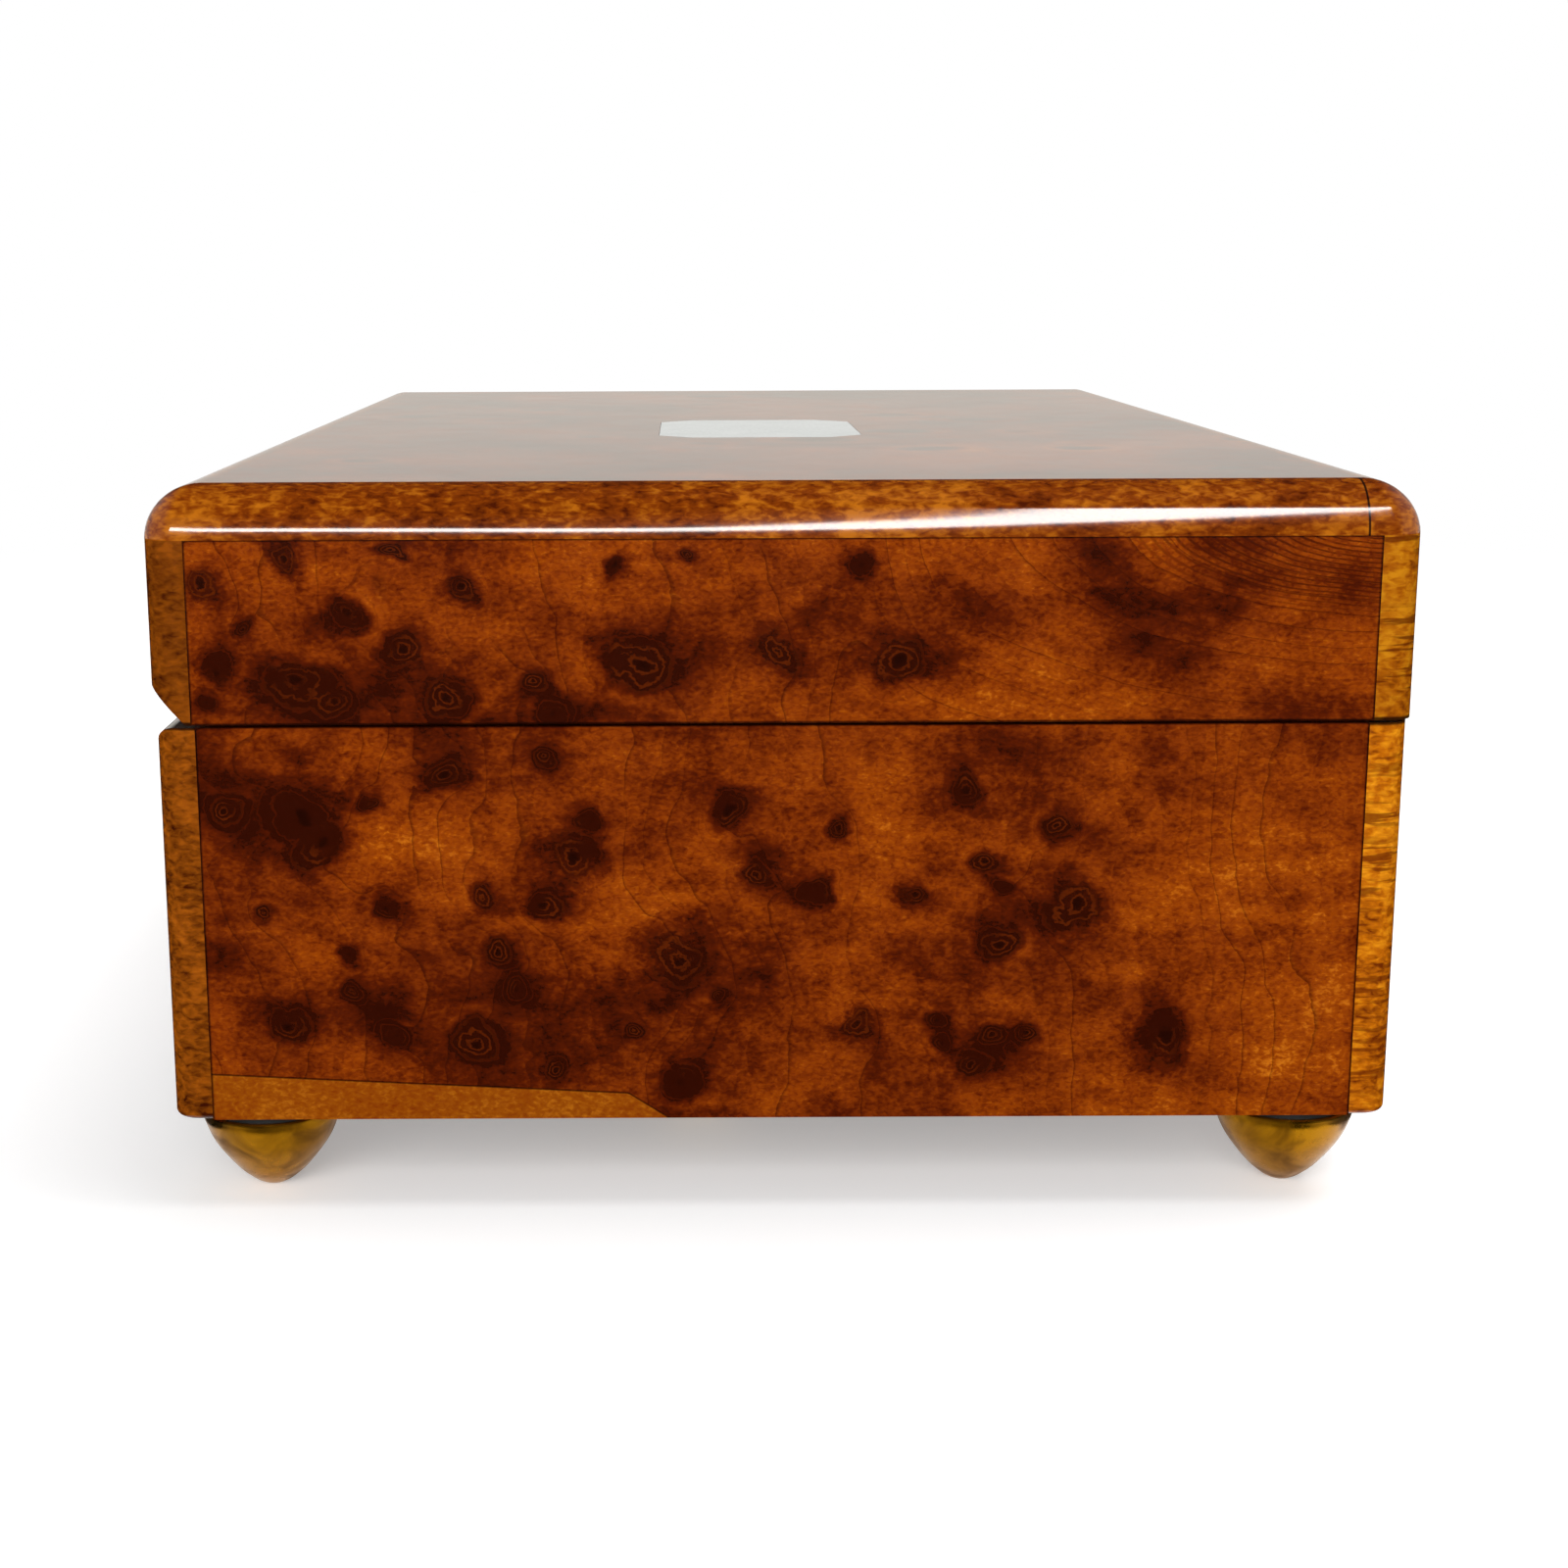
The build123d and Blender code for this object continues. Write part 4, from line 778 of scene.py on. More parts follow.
@dataclass(frozen=True)
class Figure:
    """What the burl shows on one panel. Lengths are in millimetres on the panel."""

    eyes: tuple[tuple[float, float, float], ...] = ()
    scatter: int = 0
    seed: int = 1
    period: float = 3.6
    lean: float = 0.25
    level: float = 0.58
    areas: tuple[tuple[float, float, float, float, float], ...] = ()
    graft: tuple[tuple[float, float], ...] = ()
    sweep: tuple[float, float, float, float] | None = None
    seam_below: bool = False

    def eye_list(self, width: float, height: float) -> np.ndarray:
        """The listed eyes, and clusters of scattered ones on the panels out of view.

        Args:
            width: The panel's width.
            height: The panel's height.

        Returns:
            Place and radius of each eye, n by 3.
        """
        rows = [list(e) for e in self.eyes]
        spread = 8.0
        rng = np.random.default_rng(self.seed)
        middles = rng.uniform((0.0, 0.0), (width, height), (max(1, self.scatter // 5), 2))
        for i in range(self.scatter):
            middle = middles[i % len(middles)]
            spot = middle + rng.normal(0.0, spread, 2)
            rows.append([spot[0] % width, spot[1] % height, 0.6 + 1.7 * rng.random() ** 2])
        return np.array(rows)

    def fields(self, s: np.ndarray, t: np.ndarray, width: float, height: float) -> dict[str, np.ndarray]:
        """Work out the fields that the veneer is drawn from.

        The eye field is the least of the warped, slightly stretched distances to the eyes, each over its
        radius. The growth lines are a leaning phase that is pushed aside round each eye by exp(-(d/2.1)^2).
        The tone is noise of several sizes, some of it drawn out along the panel, plus bright and dark areas
        that fall off as exp(-q^2), less exp(-(d/1.9)^2) round each eye. The glow is a crescent on one side of
        each eye. Where lines sweep round a far point, they follow the distance to it.

        Args:
            s: Millimetres along the panel.
            t: Millimetres up the panel.
            width: The panel's width.
            height: The panel's height.

        Returns:
            The named fields.
        """
        seed = self.seed * 17
        rng = np.random.default_rng(seed)
        ws = s + 0.8 * lattice_noise(s, t, 3.6, seed) + 0.28 * lattice_noise(s, t, 1.3, seed + 1)
        wt = t + 0.8 * lattice_noise(s, t, 3.6, seed + 2) + 0.28 * lattice_noise(s, t, 1.3, seed + 3)
        eye = np.full(s.shape, 7.0)
        push, crowd, glow = np.zeros(s.shape), np.zeros(s.shape), np.zeros(s.shape)
        for x, y, radius in self.eye_list(width, height):
            tilt, squash, side = rng.uniform(-0.4, 0.4), rng.uniform(1.0, 1.4), rng.uniform(0.0, 2 * np.pi)
            u, v = ws - x, wt - y
            p, q = u * np.cos(tilt) + v * np.sin(tilt), v * np.cos(tilt) - u * np.sin(tilt)
            d = np.hypot(p, q * squash) / radius
            eye = np.minimum(eye, d)
            push += np.sign(rng.uniform(-1, 1)) * np.exp(-((d / 2.1) ** 2)) * 0.9
            crowd += np.exp(-((d / 1.9) ** 2)) * 0.34
            ahead = np.clip((np.cos(side) * u + np.sin(side) * v) / (np.hypot(u, v) + 0.01), 0.0, 1.0)
            glow += np.exp(-(((d - 1.7) / 0.5) ** 2)) * ahead * rng.uniform(0.2, 0.9)
        slow = 0.15 * lattice_noise(s, t, 13.0, seed + 4) + 0.13 * lattice_noise(s, t, 5.5, seed + 5)
        slow = slow + 0.06 * lattice_noise(ws, wt, 2.4, seed + 8)
        slow = slow + 0.1 * lattice_noise(ws * 0.3 + wt * 0.3, wt, 1.7, seed + 11)
        slow = slow + 0.06 * lattice_noise(ws * 0.22 + wt * 0.25, wt, 0.7, seed + 12)
        bend = 3.0 * lattice_noise(s, t, 13.0, seed + 6) + 1.3 * lattice_noise(s, t, 5.0, seed + 7)
        bend = bend + 0.3 * lattice_noise(s, t, 1.7, seed + 9)
        grain = (s + self.lean * t + bend) / self.period + push
        tone = self.level + slow - np.minimum(crowd, 0.5)
        for x, y, along, up, amount in self.areas:
            tone = tone + amount * np.exp(-(((s - x) / along) ** 2) - (((t - y) / up) ** 2))
        comb, amount = np.zeros(s.shape), np.zeros(s.shape)
        if self.sweep:
            x, y, squash, start = self.sweep
            far = np.hypot((s - x) / squash, t - y) + 0.25 * lattice_noise(s, t, 6.0, seed + 10)
            late = np.clip((s - start) / 16.0, 0.0, 1.0)
            late = late * late * (3.0 - 2.0 * late)
            grain = grain * (1.0 - late) + far / 1.5 * late
            comb = far / 0.46
            amount = np.clip((s - start - 17.0) / 12.0, 0, 1) * np.clip((11.5 - far) / 3.0, 0.12, 1) * late
            tone = tone - late * 0.03
        graft = np.full(s.shape, -1.0)
        if self.graft:
            places, levels = zip(*self.graft)
            graft = np.clip(np.interp(s, places, levels, right=-5.0) - t, -1.0, 1.0)
        # The edge field falls to 0 at the panel's ends, along the seam between lid and case, and on a lid
        # panel at its top too: joint lines at the ends and the top, and painted shade along the seam.
        ends = np.minimum(s, width - s)
        edge = np.minimum(ends, np.minimum(t, height + 0.06 - t) if self.seam_below else height + 0.12 - t)
        return {
            "eye": eye,
            "grain": grain,
            "tone": np.clip(tone, 0.0, 1.1),
            "glow": np.clip(glow, 0.0, 1.0),
            "edge": np.clip(edge, 0.0, 1.0),
            "comb": comb,
            "comb_amount": amount,
            "graft": graft,
        }


@dataclass(frozen=True)
class Panel:
    """A veneered wall: its outer face is a fine grid that carries the figure, and it stands for its CAD node.

    The plan outline is walked from the outer edge round to the inner face, so its notches match the solid.
    """

    node: str
    body: str
    origin: TRIPLE
    across: TRIPLE
    outward: TRIPLE
    width: float
    height: float
    back: tuple[tuple[float, float], ...]
    figure: Figure
    pitch: float

    def build(self, material: bpy.types.Material) -> bpy.types.Object:
        """Make the panel: a point is origin + s across + t up - d outward, and the back follows the outline.

        Args:
            material: The drawn burl.

        Returns:
            The piece.
        """
        up = Vector(self.across).cross(Vector(self.outward)) * -1.0
        nu, nv = int(self.width / self.pitch) + 2, int(self.height / self.pitch) + 2
        s, t = np.meshgrid(np.linspace(0, self.width, nu), np.linspace(0, self.height, nv))
        across, outward, up = np.array(self.across), np.array(self.outward), np.array(up)
        front = np.array(self.origin) + (s.reshape(-1, 1) * across + t.reshape(-1, 1) * up)
        corners = []
        for level in (0.0, self.height):
            for place, depth in self.back:
                corners.append(np.array(self.origin) + place * across + level * up - depth * outward)
        points = np.vstack([front, corners])
        faces = grid_faces(nv, nu).tolist()
        n, m = nu * nv, len(self.back)
        low, high = list(range(n, n + m)), list(range(n + m, n + 2 * m))
        faces.append(list(range(nu))[::-1] + low)
        faces.append(list(range(n - nu, n)) + high[::-1])
        faces.append([i * nu for i in range(nv)] + [high[0], low[0]])
        faces.append([(i + 1) * nu - 1 for i in range(nv)][::-1] + [low[-1], high[-1]])
        for i in range(m - 1):
            faces.append([low[i], high[i], high[i + 1], low[i + 1]])
        name = f"{self.node}_veneer"
        piece = make_piece(name, points * MM, faces, material, self.body, False)
        corner = np.empty(len(piece.data.loops), int)
        piece.data.loops.foreach_get("vertex_index", corner)
        outer = 4 * (nu - 1) * (nv - 1)
        for name, values in self.figure.fields(s, t, self.width, self.height).items():
            every = np.full(len(corner), PLAIN_FIELDS[name], np.float32)
            every[:outer] = values.ravel()[corner[:outer]]
            piece.data.attributes.new(name, "FLOAT", "CORNER").data.foreach_set("value", every)
        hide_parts(self.node)
        return piece


@dataclass
class Sizes:
    """Sizes of the solids that the visual pieces meet, in millimetres."""

    case_length: float = 184.0
    case_width: float = 120.0
    case_bottom: float = 9.4
    case_height: float = 39.3
    lid_bottom: float = 49.0
    lid_length: float = 184.6
    lid_width: float = 120.6
    lid_wall: float = 17.6
    strip: float = 4.0
    wall: float = 7.0
    foot_radius: float = 7.0
    foot_height: float = 8.3
    foot_inset: float = 8.4


SIZES = Sizes()


def pixel_eyes(rows: list[tuple[float, float, float]], left: float, low: float, scale: float) -> tuple:
    """Eyes placed by their position in the view of the end, turned into millimetres on the panel.

    Args:
        rows: Across, down and radius.
        left: The panel's left edge in the same unit.
        low: The panel's lower edge.
        scale: Units in a millimetre.

    Returns:
        The eyes, on the panel.
    """
    return tuple(((x - left) / scale, (low - y) / scale, r / scale) for x, y, r in rows)


CASE_EYES = [
    (228, 803, 15), (300, 812, 24), (322, 838, 26), (370, 790, 9), (600, 810, 11), (583, 850, 24),
    (742, 805, 16), (775, 870, 16), (830, 890, 15), (932, 892, 15), (985, 782, 13), (1080, 822, 15),
    (858, 828, 11), (490, 895, 14), (556, 905, 13), (398, 905, 12), (350, 960, 9), (350, 995, 11),
    (500, 955, 14), (522, 995, 11), (694, 960, 32), (390, 1048, 13), (285, 1038, 17), (482, 1052, 22),
    (560, 1080, 14), (695, 1097, 20), (880, 1035, 20), (963, 1030, 9), (968, 1055, 9), (1003, 1082, 20),
    (1020, 945, 17), (1100, 905, 24), (1012, 862, 13), (1034, 886, 9), (1024, 1048, 11), (1055, 1050, 10),
    (1200, 1052, 24), (455, 765, 16), (560, 750, 10), (258, 915, 10), (735, 1010, 8), (640, 1040, 7),
]
LID_EYES = [
    (210, 600, 16), (298, 570, 13), (365, 626, 15), (476, 606, 15), (412, 660, 19), (410, 560, 9),
    (226, 682, 14), (216, 716, 11), (312, 700, 30), (345, 722, 16), (460, 716, 22), (552, 702, 12),
    (640, 580, 9), (655, 676, 30), (800, 662, 22), (922, 680, 25), (885, 574, 12), (250, 640, 9),
    (700, 566, 8), (575, 730, 14),
]


CASE_END = Figure(
    eyes=pixel_eyes(CASE_EYES, left=199, low=1137, scale=10.72),
    seed=3,
    period=3.4,
    lean=0.12,
    level=0.56,
    areas=(
        (106, 14, 9, 16, 0.1), (92, 4, 13, 5, 0.1), (66, 11, 8, 7, 0.14), (23, 31, 9, 5, 0.2),
        (44, 21, 8, 5, 0.18), (5, 24, 6, 9, -0.22), (22, 8, 12, 7, -0.2), (36, 14, 9, 9, -0.1),
        (80, 36, 12, 3, -0.14), (10, 34, 12, 4, -0.14), (52, 33, 6, 4, 0.12), (100, 27, 5, 5, 0.1),
    ),
    graft=((0.0, 4.7), (41.0, 2.6), (45.0, 0.0)),
)
LID_END = Figure(
    eyes=pixel_eyes(LID_EYES, left=197, low=741, scale=10.78),
    seed=5,
    period=3.8,
    lean=0.3,
    level=0.6,
    areas=(
        (8, 14, 7, 3, 0.08), (36, 12, 6, 7, 0.14), (60, 8, 4, 5, -0.16), (77, 2, 6, 3, 0.12),
        (86, 16, 3, 4, -0.36), (90, 11, 4, 4, -0.3), (94, 7, 5, 3, -0.36), (104, 14, 10, 4, -0.24),
        (104, 4, 9, 4, -0.06), (70, 12, 7, 5, -0.14), (92, 17, 3, 2, 0.16), (52, 14, 5, 5, 0.1),
    ),
    sweep=(113.0, 20.6, 2.4, 56.0),
    seam_below=True,
)
FIGURES = {
    "case_left_end": CASE_END,
    "lid_left_end": LID_END,
    "case_right_end": Figure(scatter=30, seed=11, period=3.6, lean=0.3),
    "lid_right_end": Figure(scatter=14, seed=13, period=3.6, lean=0.3, seam_below=True),
    "case_front_panel": Figure(scatter=42, seed=21, period=3.8, lean=0.35),
    "lid_front_panel": Figure(scatter=20, seed=23, period=3.8, lean=0.35, seam_below=True),
}


class DrawnPanels:
    """The veneered faces whose figure is drawn: both ends and the front, on the case and on the lid."""

    def panel(
        self, node: str, origin: TRIPLE, across: TRIPLE, outward: TRIPLE, width: float, height: float
    ) -> Panel:
        """One wall between two corner strips, rebated at both ends for them.

        Args:
            node: The CAD node that it stands for; its first word is the body.
            origin: The lower corner where the width starts.
            across: Unit vector along the width.
            outward: Unit vector out of the box.
            width: Between the strips.
            height: Of the wall.

        Returns:
            The panel.
        """
        strip, wall = SIZES.strip, SIZES.wall
        inset = wall - strip
        back = ((0.0, strip), (inset, wall), (width - inset, wall), (width, strip))
        pitch = FRONT_PITCH if node.endswith("front_panel") else END_PITCH
        body = node.split("_")[0]
        return Panel(node, body, origin, across, outward, width, height, back, FIGURES[node], pitch)

    def panels(self) -> list[Panel]:
        """The panels, each with its place and figure.

        Returns:
            The ends from left to right, then the fronts.
        """
        z = SIZES
        boxes = (
            ("case", z.case_length / 2, z.case_width / 2, z.case_bottom, z.case_height),
            ("lid", z.lid_length / 2, z.lid_width / 2, z.lid_bottom, z.lid_wall),
        )
        made = []
        for end, tag in ((-1.0, "left"), (1.0, "right")):
            for body, x, y, low, high in boxes:
                reach = y - z.strip
                origin, across = (end * x, -end * reach, low), (0.0, end, 0.0)
                made.append(self.panel(f"{body}_{tag}_end", origin, across, (end, 0.0, 0.0), 2 * reach, high))
        for body, x, y, low, high in boxes:
            reach = x - z.strip
            origin, out = (-reach, -y, low), (0.0, -1.0, 0.0)
            made.append(self.panel(f"{body}_front_panel", origin, (1.0, 0.0, 0.0), out, 2 * reach, high))
        return made

    def build(self, material: bpy.types.Material) -> None:
        """Make every drawn panel.

        Args:
            material: The drawn burl.
        """
        for panel in self.panels():
            panel.build(material)
            LOG.info("panel %s", panel.node)


@dataclass
class Feet:
    """Four turned brass bullets, with a rim turned at the top."""

    sides: int = 72

    def build(self, brass: bpy.types.Material) -> None:
        """Turn each foot from its profile and let it stand for its node.

        Args:
            brass: Its finish.
        """
        r, h = SIZES.foot_radius, SIZES.foot_height
        tip = [(1.3, 0.0), (2.2, 0.55), (r * 0.54, h * 0.24)]
        swell = [(r * 0.825, h * 0.56), (r * 0.965, h * 0.83), (r, h * 0.965)]
        curve = smooth_curve(tip + swell, 9)
        peg, peg_length = 1.2, 4.5
        rim = np.array([[r, h * 0.985], [r - 0.12, h], [r - 0.9, h], [peg, h], [peg, h + peg_length]])
        profile = np.vstack([curve, rim]) * MM
        for tag, sx, sy in (
            ("front_left", -1, -1),
            ("front_right", 1, -1),
            ("back_left", -1, 1),
            ("back_right", 1, 1),
        ):
            x = sx * (SIZES.case_length / 2 - SIZES.foot_inset) * MM
            y = sy * (SIZES.case_width / 2 - SIZES.foot_inset) * MM
            points, faces = turned(profile, (x, y, 0.0), self.sides)
            piece = make_piece(f"foot_{tag}_turned", points, faces, brass, "case")
            piece.data.set_sharp_from_angle(angle=math.radians(40))
            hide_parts(f"foot_{tag}")
        LOG.info("feet")


@dataclass
class WindingKey:
    """A folded key under the case: a turned hub between two rings of round wire."""

    hub_radius: float = 2.9
    ring_length: float = 3.6
    ring_height: float = 1.5
    wire: float = 0.7
    reach: float = 6.8
    hub_height: float = 5.3
    ring_drop: float = 3.0

    def build(self, brass: bpy.types.Material) -> None:
        """Turn the hub and bend the rings: the wire's centre runs on (a cos t, b sin t), upright.

        Args:
            brass: Its finish.
        """
        low, high = (np.array(c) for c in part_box("winding_key"))
        middle = (low + high) / 2
        top = high[2] / MM
        bottom = top - self.hub_height
        r = self.hub_radius
        lower = [[0.8, bottom], [r - 0.5, bottom], [r, bottom + 0.5]]
        upper = [[r, top - 0.3], [r - 0.3, top], [1.7, top], [1.6, top - 0.2]]
        profile = np.array(lower + upper)
        hub, faces = turned(profile * MM, (middle[0], middle[1], 0.0), 48)
        points, every = [hub], list(faces)
        n, m = 64, 12
        around_ring, around_wire = (np.linspace(0, 2 * np.pi, k, endpoint=False) for k in (n, m))
        t, w = np.meshgrid(around_ring, around_wire, indexing="ij")
        a, b = self.ring_length * np.cos(t), self.ring_height * np.sin(t)
        out = np.stack([np.cos(t) / self.ring_length, np.sin(t) / self.ring_height], -1)
        out /= np.linalg.norm(out, axis=-1, keepdims=True)
        wide = self.wire * np.cos(w)
        for side in (-1, 1):
            x = middle[0] + (side * self.reach + a + wide * out[..., 0]) * MM
            z = (top - self.ring_drop + b + wide * out[..., 1]) * MM
            y = middle[1] + self.wire * np.sin(w) * MM
            start = sum(len(p) for p in points)
            points.append(np.stack([x, y, z], -1).reshape(-1, 3))
            around = grid_faces(n + 1, m, True) % (n * m) + start
            every += around.tolist()
        piece = make_piece("winding_key_bent", np.vstack(points), every, brass, "winder")
        recalc(piece)
        piece.data.set_sharp_from_angle(angle=math.radians(40))
        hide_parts("winding_key")
        LOG.info("key")


@dataclass
class Tray:
    """The padded floor, the lined walls and the lining of the lid."""

    hem: float = 1.6
    gap: float = 0.05
    card: float = 0.8

    def pad(self, node: str, body: str, velvet: bpy.types.Material, up: bool) -> None:
        """A crowned pad in its node's box: thickness is the hem's half ellipse times a low dome.

        Args:
            node: The soft node that it stands for.
            body: Its body.
            velvet: Its cloth.
            up: Whether the crowned side faces up.
        """
        low, high = (np.array(c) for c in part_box(node))
        n = 90
        u = np.sin(np.linspace(-np.pi / 2, np.pi / 2, n)) * 0.5 + 0.5
        s, t = np.meshgrid(u, u, indexing="ij")
        gap = self.gap * MM
        size = (high - low) - 2 * gap
        rim = np.minimum(np.minimum(s, 1 - s) * size[0], np.minimum(t, 1 - t) * size[1])
        lift = np.sqrt(np.clip(1.0 - (1.0 - np.clip(rim / (self.hem * MM), 0, 1)) ** 2, 0, 1))
        dome = 1.0 - 0.22 * ((2 * s - 1) ** 2 * 0.5 + (2 * t - 1) ** 2 * 0.5)
        ripple = 0.012 * np.sin(s * 19.0 + 3.0 * t) * np.sin(t * 15.0)
        rise = (0.12 + 0.88 * lift * (dome + ripple)) * size[2] * 0.97
        x, y = low[0] + gap + s * size[0], low[1] + gap + t * size[1]
        flat = np.full(x.shape, low[2] if up else high[2])
        domed = flat + rise if up else flat - rise
        top = np.stack([x, y, domed], -1).reshape(-1, 3)
        bottom = np.stack([x, y, flat], -1).reshape(-1, 3)
        every = sheet_faces(n, n)
        every = every[:, ::-1] if up else every
        piece = make_piece(f"{node}_velvet", np.vstack([top, bottom]), every.tolist(), velvet, body)
        piece.data.set_sharp_from_angle(angle=math.radians(60))
        recalc(piece)
        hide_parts(node)

    def build(self, velvet: bpy.types.Material) -> None:
        """Make the pads and the wall lining.

        Args:
            velvet: Their cloth.
        """
        self.pad("tray_floor_pad", "case", velvet, True)
        self.pad("lid_lining", "lid", velvet, False)
        self.lining(velvet)
        LOG.info("tray")

    def lining(self, velvet: bpy.types.Material) -> None:
        """Four cloth covered cards: thickness grows from the rim as 1 - (2u - 1)^8, both ways, to the middle.

        Args:
            velvet: Their cloth.
        """
        low, high = (np.array(c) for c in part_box("tray_wall_lining"))
        thick = self.card * MM
        plates = [
            ((low[0], low[1], low[2]), (0, 1, 0), (1, 0, 0), high[1] - low[1]),
            ((high[0], low[1], low[2]), (0, 1, 0), (-1, 0, 0), high[1] - low[1]),
            ((low[0] + thick, low[1], low[2]), (1, 0, 0), (0, 1, 0), high[0] - low[0] - 2 * thick),
            ((low[0] + thick, high[1], low[2]), (1, 0, 0), (0, -1, 0), high[0] - low[0] - 2 * thick),
        ]
        points, faces = [], []
        n, m = 60, 24
        for origin, along, inward, length in plates:
            u, v = np.meshgrid(np.linspace(0, 1, n), np.linspace(0, 1, m), indexing="ij")
            swell = thick * (0.55 + 0.45 * (1 - (2 * u - 1) ** 8) * (1 - (2 * v - 1) ** 8)) * 0.98
            base = np.array(origin) + u[..., None] * length * np.array(along)
            base = base + v[..., None] * (high[2] - low[2]) * np.array((0.0, 0.0, 1.0))
            inner = base + swell[..., None] * np.array(inward)
            start = sum(len(p) for p in points)
            points += [inner.reshape(-1, 3), base.reshape(-1, 3)]
            faces.append(sheet_faces(n, m, start))
        every = np.vstack(faces).tolist()
        piece = make_piece("tray_lining_cloth", np.vstack(points), every, velvet, "case")
        recalc(piece)
        piece.data.set_sharp_from_angle(angle=math.radians(50))
        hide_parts("tray_wall_lining")


@dataclass
class Movement:
    """The fine parts of the movement: the cylinder's pins, the worm's thread and the comb's lead weights."""

    pin_radius: float = 0.13
    pin_height: float = 0.62
    pin_sides: int = 6
    pin_share: float = 0.13
    tracks: int = 31
    steps: int = 96
    thread_turns: float = 4.6
    thread_pitch: float = 0.00126
    thread_start: float = 0.003
    core_radius: float = 0.00106
    rib_height: float = 0.00034
    rib_half: float = 0.00022
    weight_count: int = 16

    def pins(self, steel: bpy.types.Material) -> None:
        """Pins on the cylinder: a pin at angle a stands along (cos a, sin a), placed by a seeded draw.

        Args:
            steel: Their finish.
        """
        low, high = (np.array(c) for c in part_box("music_cylinder"))
        middle, radius = (low + high) / 2, (high[2] - low[2]) / 2
        rng = np.random.default_rng(8)
        places = rng.random((self.tracks, self.steps)) < self.pin_share
        track, step = np.nonzero(places)
        angle = step / self.steps * 2 * np.pi
        x = low[0] + 0.0005 + (track + 0.5) * (high[0] - low[0] - 0.001) / self.tracks
        r, h, k = self.pin_radius * MM, self.pin_height * MM, self.pin_sides
        turn = np.arange(k) / k * 2 * np.pi
        axial, cross = r * np.cos(turn), r * np.sin(turn)
        out = np.array([radius - 0.0001, radius + h])
        c, s = np.cos(angle)[:, None, None], np.sin(angle)[:, None, None]
        rr, aa, cc = out[None, :, None], axial[None, None, :], cross[None, None, :]
        px = x[:, None, None] + aa + 0 * rr + 0 * c
        py = middle[1] + c * rr - s * cc
        pz = middle[2] + s * rr + c * cc
        points = np.stack([px, py, pz], -1).reshape(-1, 3)
        side = grid_faces(2, k, True)
        faces = (side[None] + 2 * k * np.arange(len(x))[:, None, None]).reshape(-1, 4).tolist()
        for i in range(len(x)):
            faces.append(list(range(2 * k * i + k, 2 * k * i + 2 * k)))
            faces.append(list(range(2 * k * i, 2 * k * i + k))[::-1])
        piece = make_piece("cylinder_pins", points, faces, steel, "cylinder")
        recalc(piece)

    def thread(self, steel: bpy.types.Material) -> None:
        """The worm's thread: a small triangular rib carried along a helix, ending flush in the core.

        Args:
            steel: Its finish.
        """
        low, high = (np.array(c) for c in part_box("fly_arbor"))
        wheel_low, wheel_high = (np.array(c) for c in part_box("worm_wheel"))
        middle = (low + high) / 2
        z0 = (wheel_low[2] + wheel_high[2]) / 2 - self.thread_start
        turns, pitch, n = self.thread_turns, self.thread_pitch, 220
        t = np.linspace(0, 1, n)
        angle = t * turns * 2 * np.pi
        fade = np.clip(np.minimum(t, 1 - t) * 14.0, 0.02, 1.0)
        rise = self.rib_height * fade
        rib = np.array([[0.0, -self.rib_half], [1.0, 0.0], [0.0, self.rib_half]])
        radius = self.core_radius + rib[None, :, 0] * rise[:, None]
        z = z0 + t[:, None] * turns * pitch + rib[None, :, 1]
        x = middle[0] + radius * np.cos(angle)[:, None]
        y = middle[1] + radius * np.sin(angle)[:, None]
        points = np.stack([x, y, z + 0 * x], -1).reshape(-1, 3)
        faces = grid_faces(n, 3, True).tolist() + [[0, 1, 2][::-1], [3 * n - 3, 3 * n - 2, 3 * n - 1]]
        piece = make_piece("worm_thread", points, faces, steel, "fly")
        recalc(piece)

    def weights(self, lead: bpy.types.Material) -> None:
        """Lead weights under the bass teeth: blocks that shorten from one end of the comb to the other.

        Args:
            lead: Their finish.
        """
        low, high = (np.array(c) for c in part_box("comb"))
        count = self.weight_count
        step = (high[0] - low[0]) / self.tracks
        size = np.linspace(0.0034, 0.0011, count)
        drop = np.linspace(0.0026, 0.001, count)
        corner = np.array([(a, b, c) for a in (0, 1) for b in (0, 1) for c in (0, 1)], float)
        x = low[0] + (np.arange(count) + 0.5) * step
        half = step * 0.28
        px = x[:, None] + (corner[:, 0] - 0.5) * 2 * half
        py = high[1] - 0.0012 - size[:, None] * corner[:, 1]
        pz = low[2] - drop[:, None] * corner[:, 2]
        points = np.stack([px, py, pz], -1).reshape(-1, 3)
        quads = np.array([[0, 1, 3, 2], [4, 6, 7, 5], [0, 4, 5, 1], [2, 3, 7, 6], [0, 2, 6, 4], [1, 5, 7, 3]])
        faces = (quads[None] + 8 * np.arange(count)[:, None, None]).reshape(-1, 4).tolist()
        piece = make_piece("comb_weights", points, faces, lead, "case", False)
        recalc(piece)

    def build(self, steel: bpy.types.Material, lead: bpy.types.Material) -> None:
        """Make the fine parts.

        Args:
            steel: Finish of the pins and the thread.
            lead: Finish of the weights.
        """
        self.pins(steel)
        self.thread(steel)
        self.weights(lead)
        LOG.info("movement")


def dress(material: bpy.types.Material, *names: str) -> None:
    """Give CAD nodes that still show a finish.

    Args:
        material: The finish.
        names: The nodes.
    """
    for name in names:
        node = NODES[name]
        if not node.data.materials:
            node.data.materials.append(material)
        for slot in node.material_slots:
            slot.link = "OBJECT"
            slot.material = material
    LOG.info("%s on %d nodes", material.name, len(names))


# Stage


WHITE = (1.0, 1.0, 1.0)
SEEN_BY = ("Camera", "Glossy", "Transmission")


